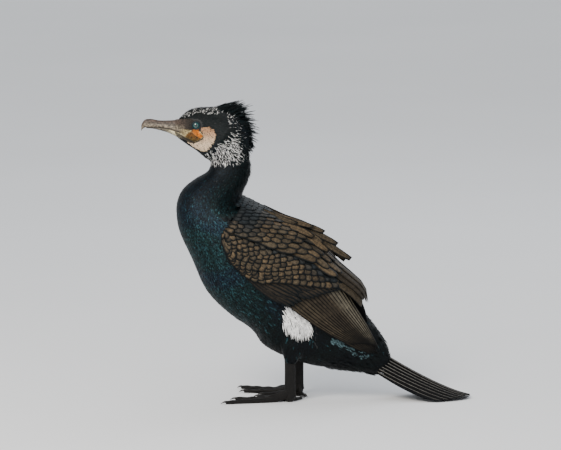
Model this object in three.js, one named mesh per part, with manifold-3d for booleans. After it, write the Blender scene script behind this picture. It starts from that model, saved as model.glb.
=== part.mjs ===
// Great cormorant, an adult in breeding dress, standing at life size as a museum model.
// Millimetres, +Z up. The bird faces -X, its left side is -Y, and it rests on z = 0.
import * as THREE from 'three';
import { mergeVertices } from 'three/addons/utils/BufferGeometryUtils.js';
import Module from 'manifold-3d';

const wasm = await Module();
wasm.setup();

// Gap kept between two pieces that meet
const GAP = 0.3;
const LEFT = -1;
const RIGHT = 1;

// Neck and trunk, from the head down to the rump. Each row is a section across the body:
// x and z of its back edge, x and z of its front edge, and half its width.
const BODY = [
  [-87.5, 427.5, -127, 422.5, 21],
  [-73.1, 400.8, -136.1, 392.5, 26],
  [-70.5, 379.2, -141.9, 379.2, 29],
  [-73.4, 364.2, -161.7, 367.5, 33],
  [-78.7, 351.7, -180.7, 352.5, 38.5],
  [-82.8, 342.5, -190.9, 335, 44],
  [-83.3, 335, -193.9, 310.9, 50],
  [-72, 329, -188.3, 277.9, 58],
  [-52, 316, -168.5, 233.2, 65],
  [-24, 299, -145.2, 181, 69],
  [6, 281, -108.9, 142.6, 71],
  [36, 258, -70.6, 116, 69],
  [64, 221, -49.5, 88.5, 64],
  [88, 186, -11.6, 68.5, 57],
  [110, 153, 28, 55.1, 47],
  [133.3, 124, 71, 48.5, 36],
  [151.1, 98.5, 107.3, 44.3, 26],
  [158, 80, 135.3, 38.8, 18],
  [162, 64, 146, 46, 9],
];
const BODY_RINGS = 38;
const BODY_SIDES = 22;
const BODY_ROUNDNESS = 2.3;

// Head: x of an upright section, its top, its bottom and half its width
const HEAD = [
  [-193.5, 462.6, 436.5, 7.6],
  [-188.6, 466.4, 432.8, 10],
  [-183.2, 471.2, 429, 12.4],
  [-173.3, 478.8, 421.8, 16.2],
  [-160, 483.6, 413.4, 19.5],
  [-145.2, 485, 400.8, 22],
  [-128.7, 485, 392.5, 24],
  [-110.6, 482.5, 387.5, 24.5],
  [-94, 475, 390.9, 23.5],
  [-81.7, 462.5, 404.2, 19],
  [-74.3, 445.8, 420.8, 10],
];
const HEAD_RINGS = 19;
const HEAD_SIDES = 20;
const HEAD_ROUNDNESS = 2.15;

// Upper bill: x, culmen, cutting edge and half width, from inside the head to the hook
const UPPER_BILL = [
  [-168, 466.5, 434, 10.5],
  [-180, 465.6, 440.5, 10],
  [-188.6, 464.6, 444.2, 9.4],
  [-203, 463.3, 449, 8],
  [-220.3, 463.3, 452.3, 6.5],
  [-230.7, 465.2, 452.3, 5.8],
  [-238, 465.8, 452.3, 5.4],
  [-243.5, 464.4, 452, 4.8],
  [-247.2, 460.8, 449.6, 3.6],
  [-249.8, 455.4, 445.6, 1.6],
];
// Lower bill: x, cutting edge, lower edge and half width
const LOWER_BILL = [
  [-168, 433.7, 421, 9.6],
  [-180, 440.2, 428, 9.2],
  [-188.6, 443.9, 434.2, 8.4],
  [-203, 448.7, 441.8, 7],
  [-217.3, 451.8, 446.3, 5.6],
  [-230.7, 452, 449.4, 4.6],
  [-241.6, 452, 450.4, 3],
];
const BILL_RINGS = 13;
const BILL_SIDES = 9;
// Plane between bill and head: a point on it, and the way it faces
const BILL_CUT = { x: -180.7, z: 445.8, nx: -0.9375, nz: -0.348 };
// Mouth line carried on into the cheek as a groove up to the gape
const GAPE = { x: -155, z: 433.2, depth: 3.2, width: 1.5 };

// Eye: centre, radius, and the ring of the lids round it
const EYE = { x: -159.2, y: 14.8, z: 456.8, radius: 6.5 };
const LIDS = { y: 18.6, radius: 5.7, tube: 1.15 };

// Planes across the neck: a point on each and its slope in the XZ plane, in degrees
const HEAD_CUT = { x: -103, z: 397, slope: 9.4 };
const NECK_CUT = { x: -125, z: 359, slope: -2 };
const TRUNK_CUT = { x: -121, z: 288.5, slope: 30.4 };

// Trunk line that the folded wings lie along: its start and its slope below level
const TRUNK = { x: -133.7, z: 294, slope: 39.2 };
// Outer surface of the folded wings round that line:
// distance along it, reach above it, reach below it, half width
const MANTLE = [
  [8, 65.5, -74.3, 67],
  [41, 72.5, -89.1, 75],
  [82, 80, -102.3, 79],
  [124, 89.9, -105.6, 81.5],
  [165, 87.5, -105.6, 81],
  [206, 80, -105.6, 77],
  [248, 74.3, -95.7, 70],
  [280, 62.7, -82.5, 62],
  [313, 46.2, -62.7, 53],
  [338, 31.4, -49.5, 45],
  [355, 19.8, -39.6, 38],
];
const MANTLE_ROUNDNESS = 2.35;
// Upper edge of a folded wing: distance along the trunk line, degrees round from the ridge
const WING_TOP = [
  [16, 34],
  [50, 21],
  [99, 9],
  [165, 4],
  [231, 4],
  [272, 8],
  [313, 35],
  [348, 70],
];
// Lower edge of a folded wing: distance along the trunk line, height over it
const WING_BOTTOM = [
  [14, 8],
  [38, -10],
  [68, -18],
  [104, -23.8],
  [139, -25.4],
  [167, -24.8],
  [218, -19],
  [254, -15.5],
  [282, -7.3],
  [308, 0.8],
  [330, 9.4],
  [348, 13.2],
];
// Core of a folded wing that the feathers grow from
const WING = { from: 15, to: 282, depth: 20, tipDepth: 15, rows: 9, columns: 6 };
// How far the core lies under the outer surface: distance along the trunk line, depth
const CORE_UNDER = [[15, 2.8], [110, 3.4], [180, 6.4], [240, 9], [290, 10]];
const ROOT_SUNK = 2.2;
// Tiers of a folded wing, from the lowest layer to the top one. Each runs from its lowest
// feather to its highest: distance of the roots and of the tips along the trunk line,
// degrees round at the roots and at the tips, height of the tips, and how far the vanes
// overlap, as a share of their spacing.
const TIERS = [
  { name: 'primaries', count: 5, root: [215, 190], tip: [349, 326], rootTurn: [89, 68],
    tipTurn: [83, 60], level: [-8.4, -5.2], overlap: 1.9, flight: true },
  { name: 'secondaries', count: 6, root: [160, 165], tip: [320, 306], rootTurn: [91, 50],
    tipTurn: [85, 42], level: [-4.4, -0.9], overlap: 1.7, flight: true },
  { name: 'tertials', count: 3, root: [170, 176], tip: [290, 282], rootTurn: [42, 20],
    tipTurn: [39, 14], level: [-0.8, 0.9], overlap: 1.5, flight: true },
  { name: 'greater coverts', count: 7, root: [138, 142], tip: [214, 238], rootTurn: [94, 42],
    tipTurn: [93, 42], level: [-0.4, 0], overlap: 1.2 },
  { name: 'median coverts', count: 6, root: [94, 100], tip: [168, 188], rootTurn: [96, 45],
    tipTurn: [96, 45], level: [-0.2, 0.2], overlap: 1.2 },
  { name: 'lesser coverts', count: 5, root: [52, 58], tip: [122, 140], rootTurn: [93, 47],
    tipTurn: [95, 46], level: [0, 0.3], overlap: 1.2 },
  { name: 'shoulder coverts', count: 4, root: [20, 20], tip: [76, 90], rootTurn: [82, 52],
    tipTurn: [90, 50], level: [0, 0.4], overlap: 1.2 },
  { name: 'long scapulars', count: 3, root: [142, 136], tip: [206, 224], rootTurn: [36, 12],
    tipTurn: [36, 12], level: [2.2, 2.2], overlap: 1.25 },
  { name: 'rear scapulars', count: 3, root: [98, 92], tip: [164, 178], rootTurn: [38, 14],
    tipTurn: [38, 13], level: [1.6, 1.6], overlap: 1.25 },
  { name: 'middle scapulars', count: 3, root: [56, 50], tip: [120, 130], rootTurn: [41, 20],
    tipTurn: [39, 14], level: [1, 1], overlap: 1.25 },
  { name: 'front scapulars', count: 2, root: [20, 20], tip: [76, 84], rootTurn: [44, 34],
    tipTurn: [38, 22], level: [0.7, 0.7], overlap: 1.3 },
];
// Scapulars whose tips stand clear of the back: distances of root and tip, degrees round,
// degrees wide, height of the tip
const LOOSE_SCAPULARS = [
  { root: 120, tip: 177, turn: 17, wide: 8, rise: 9 },
  { root: 138, tip: 201, turn: 10, wide: 8, rise: 13 },
];
// Shape of a vane: share of its length, share of its width
const COVERT = [[0, 0.7], [0.7, 1], [1, 0.35]];
const QUILL = [[0, 0.5], [0.4, 1], [0.88, 0.85], [1, 0.25]];
const VANE = { middle: 0.8, edge: 0.55, arch: 0.25, coverTilt: 0.55, flightTilt: 0.1 };

// Tail of 14 feathers in a low roof: root and tip of the middle pair, and the step
// from one feather to the next one out
const TAIL = {
  pairs: 7,
  rootX: 146,
  rootY: 2,
  rootZ: 74,
  rootStepY: 2.6,
  rootStepZ: 4.4,
  tipX: 292,
  tipY: 3.5,
  tipZ: 1.2,
  tipStepY: 6.2,
  shorten: 1.1,
  flex: 1.3,
  layer: 0.5,
  tuck: 1.1,
  spread: 0.82,
  thickness: 0.9,
};

// Legs: half the distance between the feet, and how far each stands along X
const STANCE = 38;
const LEG_X = { [LEFT]: -5, [RIGHT]: 9 };
const FOOT_TURN = { [LEFT]: -8, [RIGHT]: 8 };
const THIGH = { lean: 0, z: 101, length: 27, width: 19, height: 44, bottom: 66 };
const SHANK = { top: 74, bottom: 13, halfLong: 7.2, halfWide: 4.8, knuckle: 1.35 };
// Toes: turn outwards from straight ahead in degrees, length, radius at the root
const TOES = [
  { turn: 21, length: 108, radius: 4.8, joints: [0.3, 0.52, 0.72, 0.9] },
  { turn: 0, length: 91, radius: 4.8, joints: [0.38, 0.68, 0.92] },
  { turn: -27, length: 65, radius: 4.4, joints: [0.5, 0.88] },
  { turn: -120, length: 31, radius: 3.8, joints: [0.5] },
];
const CLAW = { length: 10, radius: 2.3, drop: 3.2 };
const WEB = { bottom: 0.4, top: 1.9, reach: 0.93, hollow: 0.8, steps: 4, rows: 4 };

// Crest: rows of locks from the crown down to the nape. Each row gives x and z of its
// roots, x and z of its tips, and half its spread at the roots.
const CREST = [
  [-113, 477, -92.5, 492, 11],
  [-106, 475, -83, 491.5, 12],
  [-98, 472, -75, 487, 12.5],
  [-93, 466, -69, 474, 12.5],
  [-89, 458, -64.5, 459, 12],
  [-86, 449, -61.5, 444, 11],
  [-83, 439, -66, 428.5, 9],
];
const LOCK = { perRow: 4, width: 3.9, thickness: 0.95, fan: 1.25, bend: 3, stray: 2.2, seed: 7 };

// Finishes seen on the bird
const FINISH = {
  plumage: new THREE.MeshStandardMaterial({ color: '#10191c', roughness: 0.45 }),
  mottle: new THREE.MeshStandardMaterial({ color: '#4a4038', roughness: 0.6 }),
  horn: new THREE.MeshStandardMaterial({ color: '#6d655a', roughness: 0.45 }),
  gape: new THREE.MeshStandardMaterial({ color: '#b9a77a', roughness: 0.5 }),
  iris: new THREE.MeshStandardMaterial({ color: '#1f8f86', roughness: 0.1 }),
  quill: new THREE.MeshStandardMaterial({ color: '#23272a', roughness: 0.5 }),
  leg: new THREE.MeshStandardMaterial({ color: '#15161a', roughness: 0.5 }),
};

const degrees = THREE.MathUtils.degToRad;

// Value of a table's column at x, along a smooth curve through its rows
function smooth(rows, x, column = 1) {
  const last = rows.length - 1;
  const at = THREE.MathUtils.clamp(x, rows[0][0], rows[last][0]);
  let i = 0;
  while (i < last - 1 && rows[i + 1][0] < at) i += 1;
  const slope = (k) => {
    const before = rows[Math.max(k - 1, 0)];
    const after = rows[Math.min(k + 1, last)];
    return (after[column] - before[column]) / (after[0] - before[0]);
  };
  const span = rows[i + 1][0] - rows[i][0];
  const t = (at - rows[i][0]) / span;
  const rise = t * t * (3 - 2 * t);
  const leave = t * (1 - t) * (1 - t);
  const arrive = t * t * (t - 1);
  return rows[i][column] * (1 - rise) + rows[i + 1][column] * rise
    + span * (leave * slope(i) + arrive * slope(i + 1));
}

// Power of a sine or cosine that makes a rounded section squarer
function squared(value, roundness) {
  return Math.sign(value) * Math.abs(value) ** (2 / roundness);
}

// Closed solid of points and triangles, with its faces turned outwards
function solid(points, faces) {
  let volume = 0;
  for (let i = 0; i < faces.length; i += 3) {
    const [a, b, c] = [points[faces[i]], points[faces[i + 1]], points[faces[i + 2]]];
    volume += a.dot(new THREE.Vector3().crossVectors(b, c));
  }
  const order = volume < 0 ? faces.slice().reverse() : faces;
  const geometry = new THREE.BufferGeometry().setFromPoints(points).setIndex(order);
  return fromGeometry(geometry);
}

// Solid of a closed three.js geometry
function fromGeometry(geometry) {
  geometry.deleteAttribute('normal');
  geometry.deleteAttribute('uv');
  const merged = mergeVertices(geometry, 1e-4);
  return new wasm.Manifold(new wasm.Mesh({
    numProp: 3,
    vertProperties: new Float32Array(merged.attributes.position.array),
    triVerts: new Uint32Array(merged.index.array),
  }));
}

// Union of a list of solids
function join(solids) {
  return solids.reduce((whole, piece) => whole.add(piece));
}

// Largest closed surface of a solid, without slivers
function largest(whole) {
  const pieces = whole.simplify(0.01).decompose();
  return pieces.reduce((best, piece) => (piece.volume() > best.volume() ? piece : best));
}

// Closed solid through rings of points, with a point in the middle of each end
function loft(rings) {
  const count = rings[0].length;
  const points = rings.flat();
  const faces = [];
  for (let i = 0; i < rings.length - 1; i += 1) {
    for (let j = 0; j < count; j += 1) {
      const a = i * count + j;
      const b = i * count + ((j + 1) % count);
      faces.push(a, b, b + count, a, b + count, a + count);
    }
  }
  for (const end of [0, rings.length - 1]) {
    const middle = new THREE.Vector3();
    rings[end].forEach((point) => middle.addScaledVector(point, 1 / count));
    const centre = points.push(middle) - 1;
    for (let j = 0; j < count; j += 1) {
      const a = end * count + j;
      const b = end * count + ((j + 1) % count);
      faces.push(...(end === 0 ? [centre, b, a] : [centre, a, b]));
    }
  }
  return solid(points, faces);
}

// Closed solid between two sheets of points with the same rows and columns
function slab(outer, inner) {
  const columns = outer[0].length;
  const rows = outer.length;
  const points = [...outer.flat(), ...inner.flat()];
  const under = rows * columns;
  const faces = [];
  for (let i = 0; i < rows - 1; i += 1) {
    for (let j = 0; j < columns - 1; j += 1) {
      const a = i * columns + j;
      const c = a + columns + 1;
      faces.push(a, a + 1, c, a, c, c - 1);
      faces.push(under + c, under + a + 1, under + a, under + c - 1, under + c, under + a);
    }
  }
  const rim = [];
  for (let j = 0; j < columns; j += 1) rim.push(j);
  for (let i = 1; i < rows; i += 1) rim.push(i * columns + columns - 1);
  for (let j = columns - 2; j >= 0; j -= 1) rim.push((rows - 1) * columns + j);
  for (let i = rows - 2; i > 0; i -= 1) rim.push(i * columns);
  rim.forEach((a, k) => {
    const b = rim[(k + 1) % rim.length];
    faces.push(b, a, under + a, b, under + a, under + b);
  });
  return solid(points, faces);
}

// Tube along points whose section has its own half width and half height at each
function sweep(path, halves, sides, up = new THREE.Vector3(0, 0, 1)) {
  const rings = path.map((point, i) => {
    const before = path[Math.max(i - 1, 0)];
    const after = path[Math.min(i + 1, path.length - 1)];
    const ahead = new THREE.Vector3().subVectors(after, before).normalize();
    const across = new THREE.Vector3().crossVectors(ahead, up).normalize();
    const over = new THREE.Vector3().crossVectors(across, ahead);
    return Array.from({ length: sides }, (_, j) => {
      const turn = (2 * Math.PI * (j + 0.5)) / sides;
      return point.clone()
        .addScaledVector(across, halves[i][0] * Math.cos(turn))
        .addScaledVector(over, halves[i][1] * Math.sin(turn));
    });
  });
  return loft(rings);
}

// The part of a solid on the side that a plane in the XZ plane's sense faces
function trim(whole, { x, z, nx, nz }) {
  return whole.trimByPlane([nx, 0, nz], nx * x + nz * z + GAP / 2);
}

// Plane across the neck that faces up, and the same plane facing down
function across({ x, z, slope }) {
  const turn = degrees(slope);
  return { x, z, nx: -Math.sin(turn), nz: Math.cos(turn) };
}
function turned(plane) {
  return { ...plane, nx: -plane.nx, nz: -plane.nz };
}

// Neck and trunk in one, grown outwards by an allowance
function bodySolid(grow = 0) {
  const rows = BODY.map((row, i) => [i, ...row]);
  const rings = Array.from({ length: BODY_RINGS }, (_, i) => {
    const at = ((BODY.length - 1) * i) / (BODY_RINGS - 1);
    const back = new THREE.Vector3(smooth(rows, at, 1), 0, smooth(rows, at, 2));
    const front = new THREE.Vector3(smooth(rows, at, 3), 0, smooth(rows, at, 4));
    const middle = back.clone().add(front).multiplyScalar(0.5);
    const half = back.clone().sub(front).multiplyScalar(0.5);
    half.setLength(half.length() + grow);
    const wide = smooth(rows, at, 5) + grow;
    return Array.from({ length: BODY_SIDES }, (_unused, j) => {
      const turn = (2 * Math.PI * j) / BODY_SIDES;
      const point = middle.clone();
      point.addScaledVector(half, squared(Math.cos(turn), BODY_ROUNDNESS));
      point.y = wide * squared(Math.sin(turn), BODY_ROUNDNESS);
      return point;
    });
  });
  return loft(rings);
}

// Upright sections along X, from a table of x, top, bottom and half width
function uprightLoft(table, count, sides, section) {
  const from = table[0][0];
  const to = table[table.length - 1][0];
  const rows = from < to ? table : table.slice().reverse();
  const rings = Array.from({ length: count }, (_, i) => {
    const x = from + ((to - from) * i) / (count - 1);
    return section(x, smooth(rows, x, 1), smooth(rows, x, 2), smooth(rows, x, 3), sides);
  });
  return loft(rings);
}

function ovalSection(x, top, bottom, half, sides) {
  return Array.from({ length: sides }, (_, j) => {
    const turn = (2 * Math.PI * j) / sides;
    return new THREE.Vector3(
      x,
      half * squared(Math.sin(turn), HEAD_ROUNDNESS),
      (top + bottom) / 2 + ((top - bottom) / 2) * squared(Math.cos(turn), HEAD_ROUNDNESS),
    );
  });
}

// Half of an oval, flat along the mouth line; edge is the flat side and crown the round one
function billSection(x, crown, edge, half, sides) {
  return Array.from({ length: sides }, (_, j) => {
    const turn = (Math.PI * j) / (sides - 1);
    const rise = Math.sin(turn) ** 0.85;
    return new THREE.Vector3(x, half * Math.cos(turn), edge + (crown - edge) * rise);
  });
}

// Ball of the eye, or its socket when it is grown by the gap
function eyeBall(side, grow = 0) {
  const ball = new THREE.SphereGeometry(EYE.radius + grow, 12, 8);
  return fromGeometry(ball).translate([EYE.x, side * EYE.y, EYE.z]);
}

// Lids of one eye as a low ring on the cheek
function eyeLids(side) {
  const ring = new THREE.TorusGeometry(LIDS.radius, LIDS.tube, 5, 14);
  ring.rotateX(Math.PI / 2);
  return fromGeometry(ring).translate([EYE.x, side * LIDS.y, EYE.z]);
}

// Line of the mouth on one cheek, from the bill to the gape, as a thin blade to cut with
function gapeBlade(side) {
  const start = new THREE.Vector3(-186, side * 11, 441.8);
  const end = new THREE.Vector3(GAPE.x, side * 19.5, GAPE.z);
  const path = [0, 0.5, 1].map((t) => start.clone().lerp(end, t));
  const halves = [0, 0.5, 1].map((t) => [GAPE.depth, (GAPE.width * (1 - 0.6 * t)) / 2]);
  return sweep(path, halves, 6);
}

// Head with lids, sockets and mouth line, still whole at the neck
function headSolid() {
  const skull = uprightLoft(HEAD, HEAD_RINGS, HEAD_SIDES, ovalSection);
  const parts = [skull, eyeLids(LEFT), eyeLids(RIGHT)];
  return join(parts)
    .subtract(eyeBall(LEFT, GAP))
    .subtract(eyeBall(RIGHT, GAP))
    .subtract(gapeBlade(LEFT))
    .subtract(gapeBlade(RIGHT));
}

// Repeatable random numbers from 0 to 1
function seeded(seed) {
  let state = seed;
  return () => {
    state = (state * 1664525 + 1013904223) % 4294967296;
    return state / 4294967296;
  };
}

// Flat tapered locks of the crest, rooted in the head and bent along their lie
function crestLocks() {
  const random = seeded(LOCK.seed);
  const stray = () => (random() - 0.5) * 2 * LOCK.stray;
  const locks = [];
  for (const [rootX, rootZ, tipX, tipZ, spread] of CREST) {
    for (let i = 0; i < LOCK.perRow; i += 1) {
      const y = spread * ((2 * i) / (LOCK.perRow - 1) - 1);
      const inward = 3 * Math.abs(y / spread) ** 2;
      const root = new THREE.Vector3(rootX - inward, 0.8 * y, rootZ - inward);
      const tip = new THREE.Vector3(
        tipX + stray() - 2 * inward,
        y * LOCK.fan + stray(),
        tipZ + stray() - inward,
      );
      const bow = root.clone().lerp(tip, 0.5).add(new THREE.Vector3(0, 0, LOCK.bend));
      const curve = new THREE.QuadraticBezierCurve3(root, bow, tip);
      const halves = [0.85, 1, 0.62, 0.14].map((f) => [LOCK.width * f, LOCK.thickness * f + 0.12]);
      locks.push(sweep(curve.getPoints(3), halves, 4));
    }
  }
  return locks;
}

// Point on the folded wings' surface: distance along the trunk line, angle round from the
// ridge in degrees, side of the bird, and height over the surface
function guide(along, angle, side, lift = 0) {
  const slope = degrees(TRUNK.slope);
  const above = smooth(MANTLE, along, 1);
  const below = smooth(MANTLE, along, 2);
  const wide = smooth(MANTLE, along, 3) + lift;
  const half = (above - below) / 2 + lift;
  const reach = (above + below) / 2 + half * squared(Math.cos(degrees(angle)), MANTLE_ROUNDNESS);
  return new THREE.Vector3(
    TRUNK.x + along * Math.cos(slope) + reach * Math.sin(slope),
    side * wide * squared(Math.sin(degrees(angle)), MANTLE_ROUNDNESS),
    TRUNK.z - along * Math.sin(slope) + reach * Math.cos(slope),
  );
}

// Angle round from the ridge at which the folded wing's surface has a given height
function angleAt(along, reach) {
  const above = smooth(MANTLE, along, 1);
  const below = smooth(MANTLE, along, 2);
  const share = (reach - (above + below) / 2) / ((above - below) / 2);
  const level = Math.sign(share) * Math.abs(share) ** (MANTLE_ROUNDNESS / 2);
  return THREE.MathUtils.radToDeg(Math.acos(THREE.MathUtils.clamp(level, -1, 1)));
}

// Core of a folded wing as one curved plate round the trunk
function wingCore(side) {
  const sheet = (share) => Array.from({ length: WING.rows }, (_, i) => {
    const t = i / (WING.rows - 1);
    const along = THREE.MathUtils.lerp(WING.from, WING.to, t);
    const under = smooth(CORE_UNDER, along);
    const depth = THREE.MathUtils.lerp(WING.depth, WING.tipDepth, t);
    const top = smooth(WING_TOP, along);
    const bottom = angleAt(along, smooth(WING_BOTTOM, along));
    return Array.from({ length: WING.columns }, (_unused, j) => {
      const angle = THREE.MathUtils.lerp(top, bottom, j / (WING.columns - 1));
      return guide(along, angle, side, -THREE.MathUtils.lerp(under, depth, share));
    });
  });
  return slab(sheet(0), sheet(1));
}

// One feather lying on the wing's surface, as a thin arched vane with its root sunk in the
// core. Its place is given by its root and tip along the trunk line, its turns round it,
// its width in degrees at root and tip, and the height of its tip.
function wingVane({ along, turn, wide, level, outline, tilt, side }) {
  const sunk = -(smooth(CORE_UNDER, along[0]) + ROOT_SUNK);
  const sheet = (under) => outline.map(([t, share]) => {
    const at = THREE.MathUtils.lerp(along[0], along[1], t);
    const round = THREE.MathUtils.lerp(turn[0], turn[1], t);
    const half = (share * THREE.MathUtils.lerp(wide[0], wide[1], t)) / 2;
    const height = THREE.MathUtils.lerp(sunk, level, t);
    return [-1, 0, 1].map((across) => {
      const arch = across === 0 ? VANE.arch : across * tilt;
      const depth = across === 0 ? VANE.middle : VANE.edge;
      return guide(at, round + across * half, side, height + arch - under * depth);
    });
  });
  return slab(sheet(0), sheet(1));
}

// All feathers of one folded wing, tier by tier
function wingFeathers(side) {
  const feathers = [];
  for (const tier of TIERS) {
    const spacing = (turn) => (tier.overlap * (turn[0] - turn[1])) / (tier.count - 1);
    for (let i = 0; i < tier.count; i += 1) {
      const between = ([low, high]) => THREE.MathUtils.lerp(low, high, i / (tier.count - 1));
      feathers.push(wingVane({
        along: [between(tier.root), between(tier.tip)],
        turn: [between(tier.rootTurn), between(tier.tipTurn)],
        wide: [spacing(tier.rootTurn), spacing(tier.tipTurn)],
        level: between(tier.level),
        outline: tier.flight ? QUILL : COVERT,
        tilt: tier.flight ? VANE.flightTilt : -VANE.coverTilt,
        side,
      }));
    }
  }
  for (const { root, tip, turn, wide, rise } of LOOSE_SCAPULARS) {
    feathers.push(wingVane({
      along: [root, tip],
      turn: [turn, turn],
      wide: [wide, wide],
      level: rise,
      outline: QUILL,
      tilt: 0,
      side,
    }));
  }
  return feathers;
}

// Point on the tail's roof: number of the feather from the middle, share of its length,
// height over the roof
function tailPoint(place, share, lift = 0) {
  const side = Math.sign(place) || 1;
  const number = Math.abs(place);
  const rootX = TAIL.rootX - number;
  const rootY = TAIL.rootY + TAIL.rootStepY * number;
  const rootZ = TAIL.rootZ - TAIL.rootStepZ * number;
  const tipX = TAIL.tipX - TAIL.shorten * number * number;
  const tipY = TAIL.tipY + TAIL.tipStepY * number;
  return new THREE.Vector3(
    THREE.MathUtils.lerp(rootX, tipX, share) + 0.4 * lift,
    side * THREE.MathUtils.lerp(rootY, tipY, share),
    TAIL.tipZ + (rootZ - TAIL.tipZ) * (1 - share) ** TAIL.flex + lift,
  );
}

// Tail feathers in a roof, the middle pair on top and each next one under the last
function tailFeathers() {
  const feathers = [];
  for (let i = 0; i < 2 * TAIL.pairs; i += 1) {
    const place = i - TAIL.pairs + 0.5;
    const side = Math.sign(place);
    const layer = TAIL.layer * (TAIL.pairs - Math.abs(place)) + TAIL.thickness;
    const sheet = (under) => QUILL.map(([share, wide]) => [-1, 0, 1].map((across) => {
      const reach = place + across * TAIL.spread * (0.4 + 0.6 * wide);
      const inner = across * side < 0 ? -TAIL.tuck : 0;
      const depth = across === 0 ? TAIL.thickness : 0.75 * TAIL.thickness;
      const arch = across === 0 ? VANE.arch : inner;
      return tailPoint(reach, share, layer + arch - under * depth);
    }));
    feathers.push(slab(sheet(0), sheet(1)));
  }
  return feathers;
}

// Feathered thigh, cut level above the scaled shank
function thighSolid(side) {
  const ball = new THREE.SphereGeometry(1, 16, 12);
  ball.scale(THIGH.length, THIGH.width, THIGH.height);
  return fromGeometry(ball)
    .translate([LEG_X[side] + THIGH.lean, side * STANCE, THIGH.z])
    .trimByPlane([0, 0, 1], THIGH.bottom);
}

// Scaled shank with its two knuckles, flattened from side to side
function shankSolid(side) {
  const shares = [0, 0.1, 0.22, 0.5, 0.8, 0.92, 1];
  const path = shares.map((t) => new THREE.Vector3(
    LEG_X[side],
    side * STANCE,
    THREE.MathUtils.lerp(SHANK.top, SHANK.bottom, t),
  ));
  const halves = shares.map((t) => {
    const swell = 1 + (SHANK.knuckle - 1) * Math.abs(2 * t - 1) ** 6;
    return [SHANK.halfWide * swell, SHANK.halfLong * swell];
  });
  return sweep(path, halves, 12, new THREE.Vector3(1, 0, 0));
}

// Direction of a toe on the floor
function toeAhead(toe, side) {
  const turn = degrees(toe.turn + FOOT_TURN[side]);
  return new THREE.Vector3(-Math.cos(turn), side * Math.sin(turn), 0);
}

// One toe with its knuckles and its claw, lying on the floor
function toeSolid(toe, side) {
  const ankle = new THREE.Vector3(LEG_X[side], side * STANCE, 0);
  const ahead = toeAhead(toe, side);
  const steps = 8;
  const path = [];
  const halves = [];
  for (let i = 0; i < steps; i += 1) {
    const t = i / (steps - 1);
    const taper = toe.radius * (1 - 0.42 * t);
    const knuckle = toe.joints.reduce((sum, at) => sum + 0.16 * Math.exp(-(((t - at) / 0.075) ** 2)), 0);
    const radius = taper * (1 + knuckle);
    path.push(ankle.clone().addScaledVector(ahead, toe.length * t).setZ(radius * 0.82));
    halves.push([radius * 0.95, radius]);
  }
  const claw = [0, 0.35, 0.7, 1].map((t) => ankle.clone()
    .addScaledVector(ahead, toe.length - 3 + CLAW.length * t + 2 * t)
    .setZ(3 + 0.9 * Math.sin(Math.PI * t) - (CLAW.drop - 0.9) * t * t));
  const clawHalves = [1, 0.85, 0.55, 0.18].map((f) => [0.8 * CLAW.radius * f, CLAW.radius * f]);
  return [sweep(path, halves, 5), sweep(claw, clawHalves, 5)];
}

// Web of skin between two neighbouring toes, hollowed along its front edge
function webSolid(first, second, side) {
  const ankle = new THREE.Vector3(LEG_X[side], side * STANCE, 0);
  const edge = (toe) => toeAhead(toe, side).multiplyScalar(toe.length * WEB.reach);
  const sheet = (height) => Array.from({ length: WEB.rows }, (_, i) => {
    const out = 0.08 + (0.92 * i) / (WEB.rows - 1);
    return Array.from({ length: WEB.steps + 1 }, (_unused, j) => {
      const t = j / WEB.steps;
      const hollow = 1 - (1 - WEB.hollow) * Math.sin(Math.PI * t);
      return edge(first).lerp(edge(second), t).multiplyScalar(out * hollow)
        .add(ankle).setZ(height);
    });
  });
  return slab(sheet(WEB.top), sheet(WEB.bottom));
}

// Whole foot, flat underneath where it stands
function footSolid(side) {
  const heel = new THREE.SphereGeometry(1, 10, 7);
  heel.scale(8, 6.6, 10);
  const parts = [fromGeometry(heel).translate([LEG_X[side], side * STANCE, 7.5])];
  TOES.forEach((toe, i) => {
    parts.push(...toeSolid(toe, side));
    if (i > 0) parts.push(webSolid(TOES[i - 1], toe, side));
  });
  return join(parts).trimByPlane([0, 0, 1], 0).trimByPlane([0, 0, -1], -(SHANK.bottom + 1));
}

const bird = new THREE.Group();

// Add one named piece of the bird
function addNode(name, whole, finish) {
  const mesh = largest(whole).getMesh();
  const geometry = new THREE.BufferGeometry();
  geometry.setAttribute('position', new THREE.BufferAttribute(mesh.vertProperties, 3));
  geometry.setIndex(new THREE.BufferAttribute(mesh.triVerts, 1));
  geometry.computeVertexNormals();
  const piece = new THREE.Mesh(geometry, finish);
  piece.name = name;
  bird.add(piece);
}

const grownBody = bodySolid(GAP);
const fleshWhole = bodySolid().add(headSolid());
const headCut = across(HEAD_CUT);
const neckCut = across(NECK_CUT);
const trunkCut = across(TRUNK_CUT);
const headPlane = { ...BILL_CUT, nx: -BILL_CUT.nx, nz: -BILL_CUT.nz };

addNode(
  'head',
  trim(trim(join([fleshWhole, ...crestLocks()]), headCut), headPlane),
  FINISH.plumage,
);
addNode('neck_upper', trim(trim(fleshWhole, turned(headCut)), neckCut), FINISH.plumage);
addNode('neck_lower', trim(trim(fleshWhole, turned(neckCut)), trunkCut), FINISH.plumage);
addNode('torso', trim(fleshWhole, turned(trunkCut)), FINISH.plumage);

const upperBill = uprightLoft(UPPER_BILL, BILL_RINGS, BILL_SIDES, billSection);
const lowerBill = uprightLoft(
  LOWER_BILL.map(([x, edge, keel, half]) => [x, keel, edge, half]),
  BILL_RINGS,
  BILL_SIDES,
  billSection,
);
addNode('bill_upper', trim(upperBill, BILL_CUT), FINISH.horn);
addNode('bill_lower', trim(lowerBill, BILL_CUT), FINISH.gape);

addNode('tail', join(tailFeathers()).subtract(grownBody).trimByPlane([0, 0, 1], 0), FINISH.quill);

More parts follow.
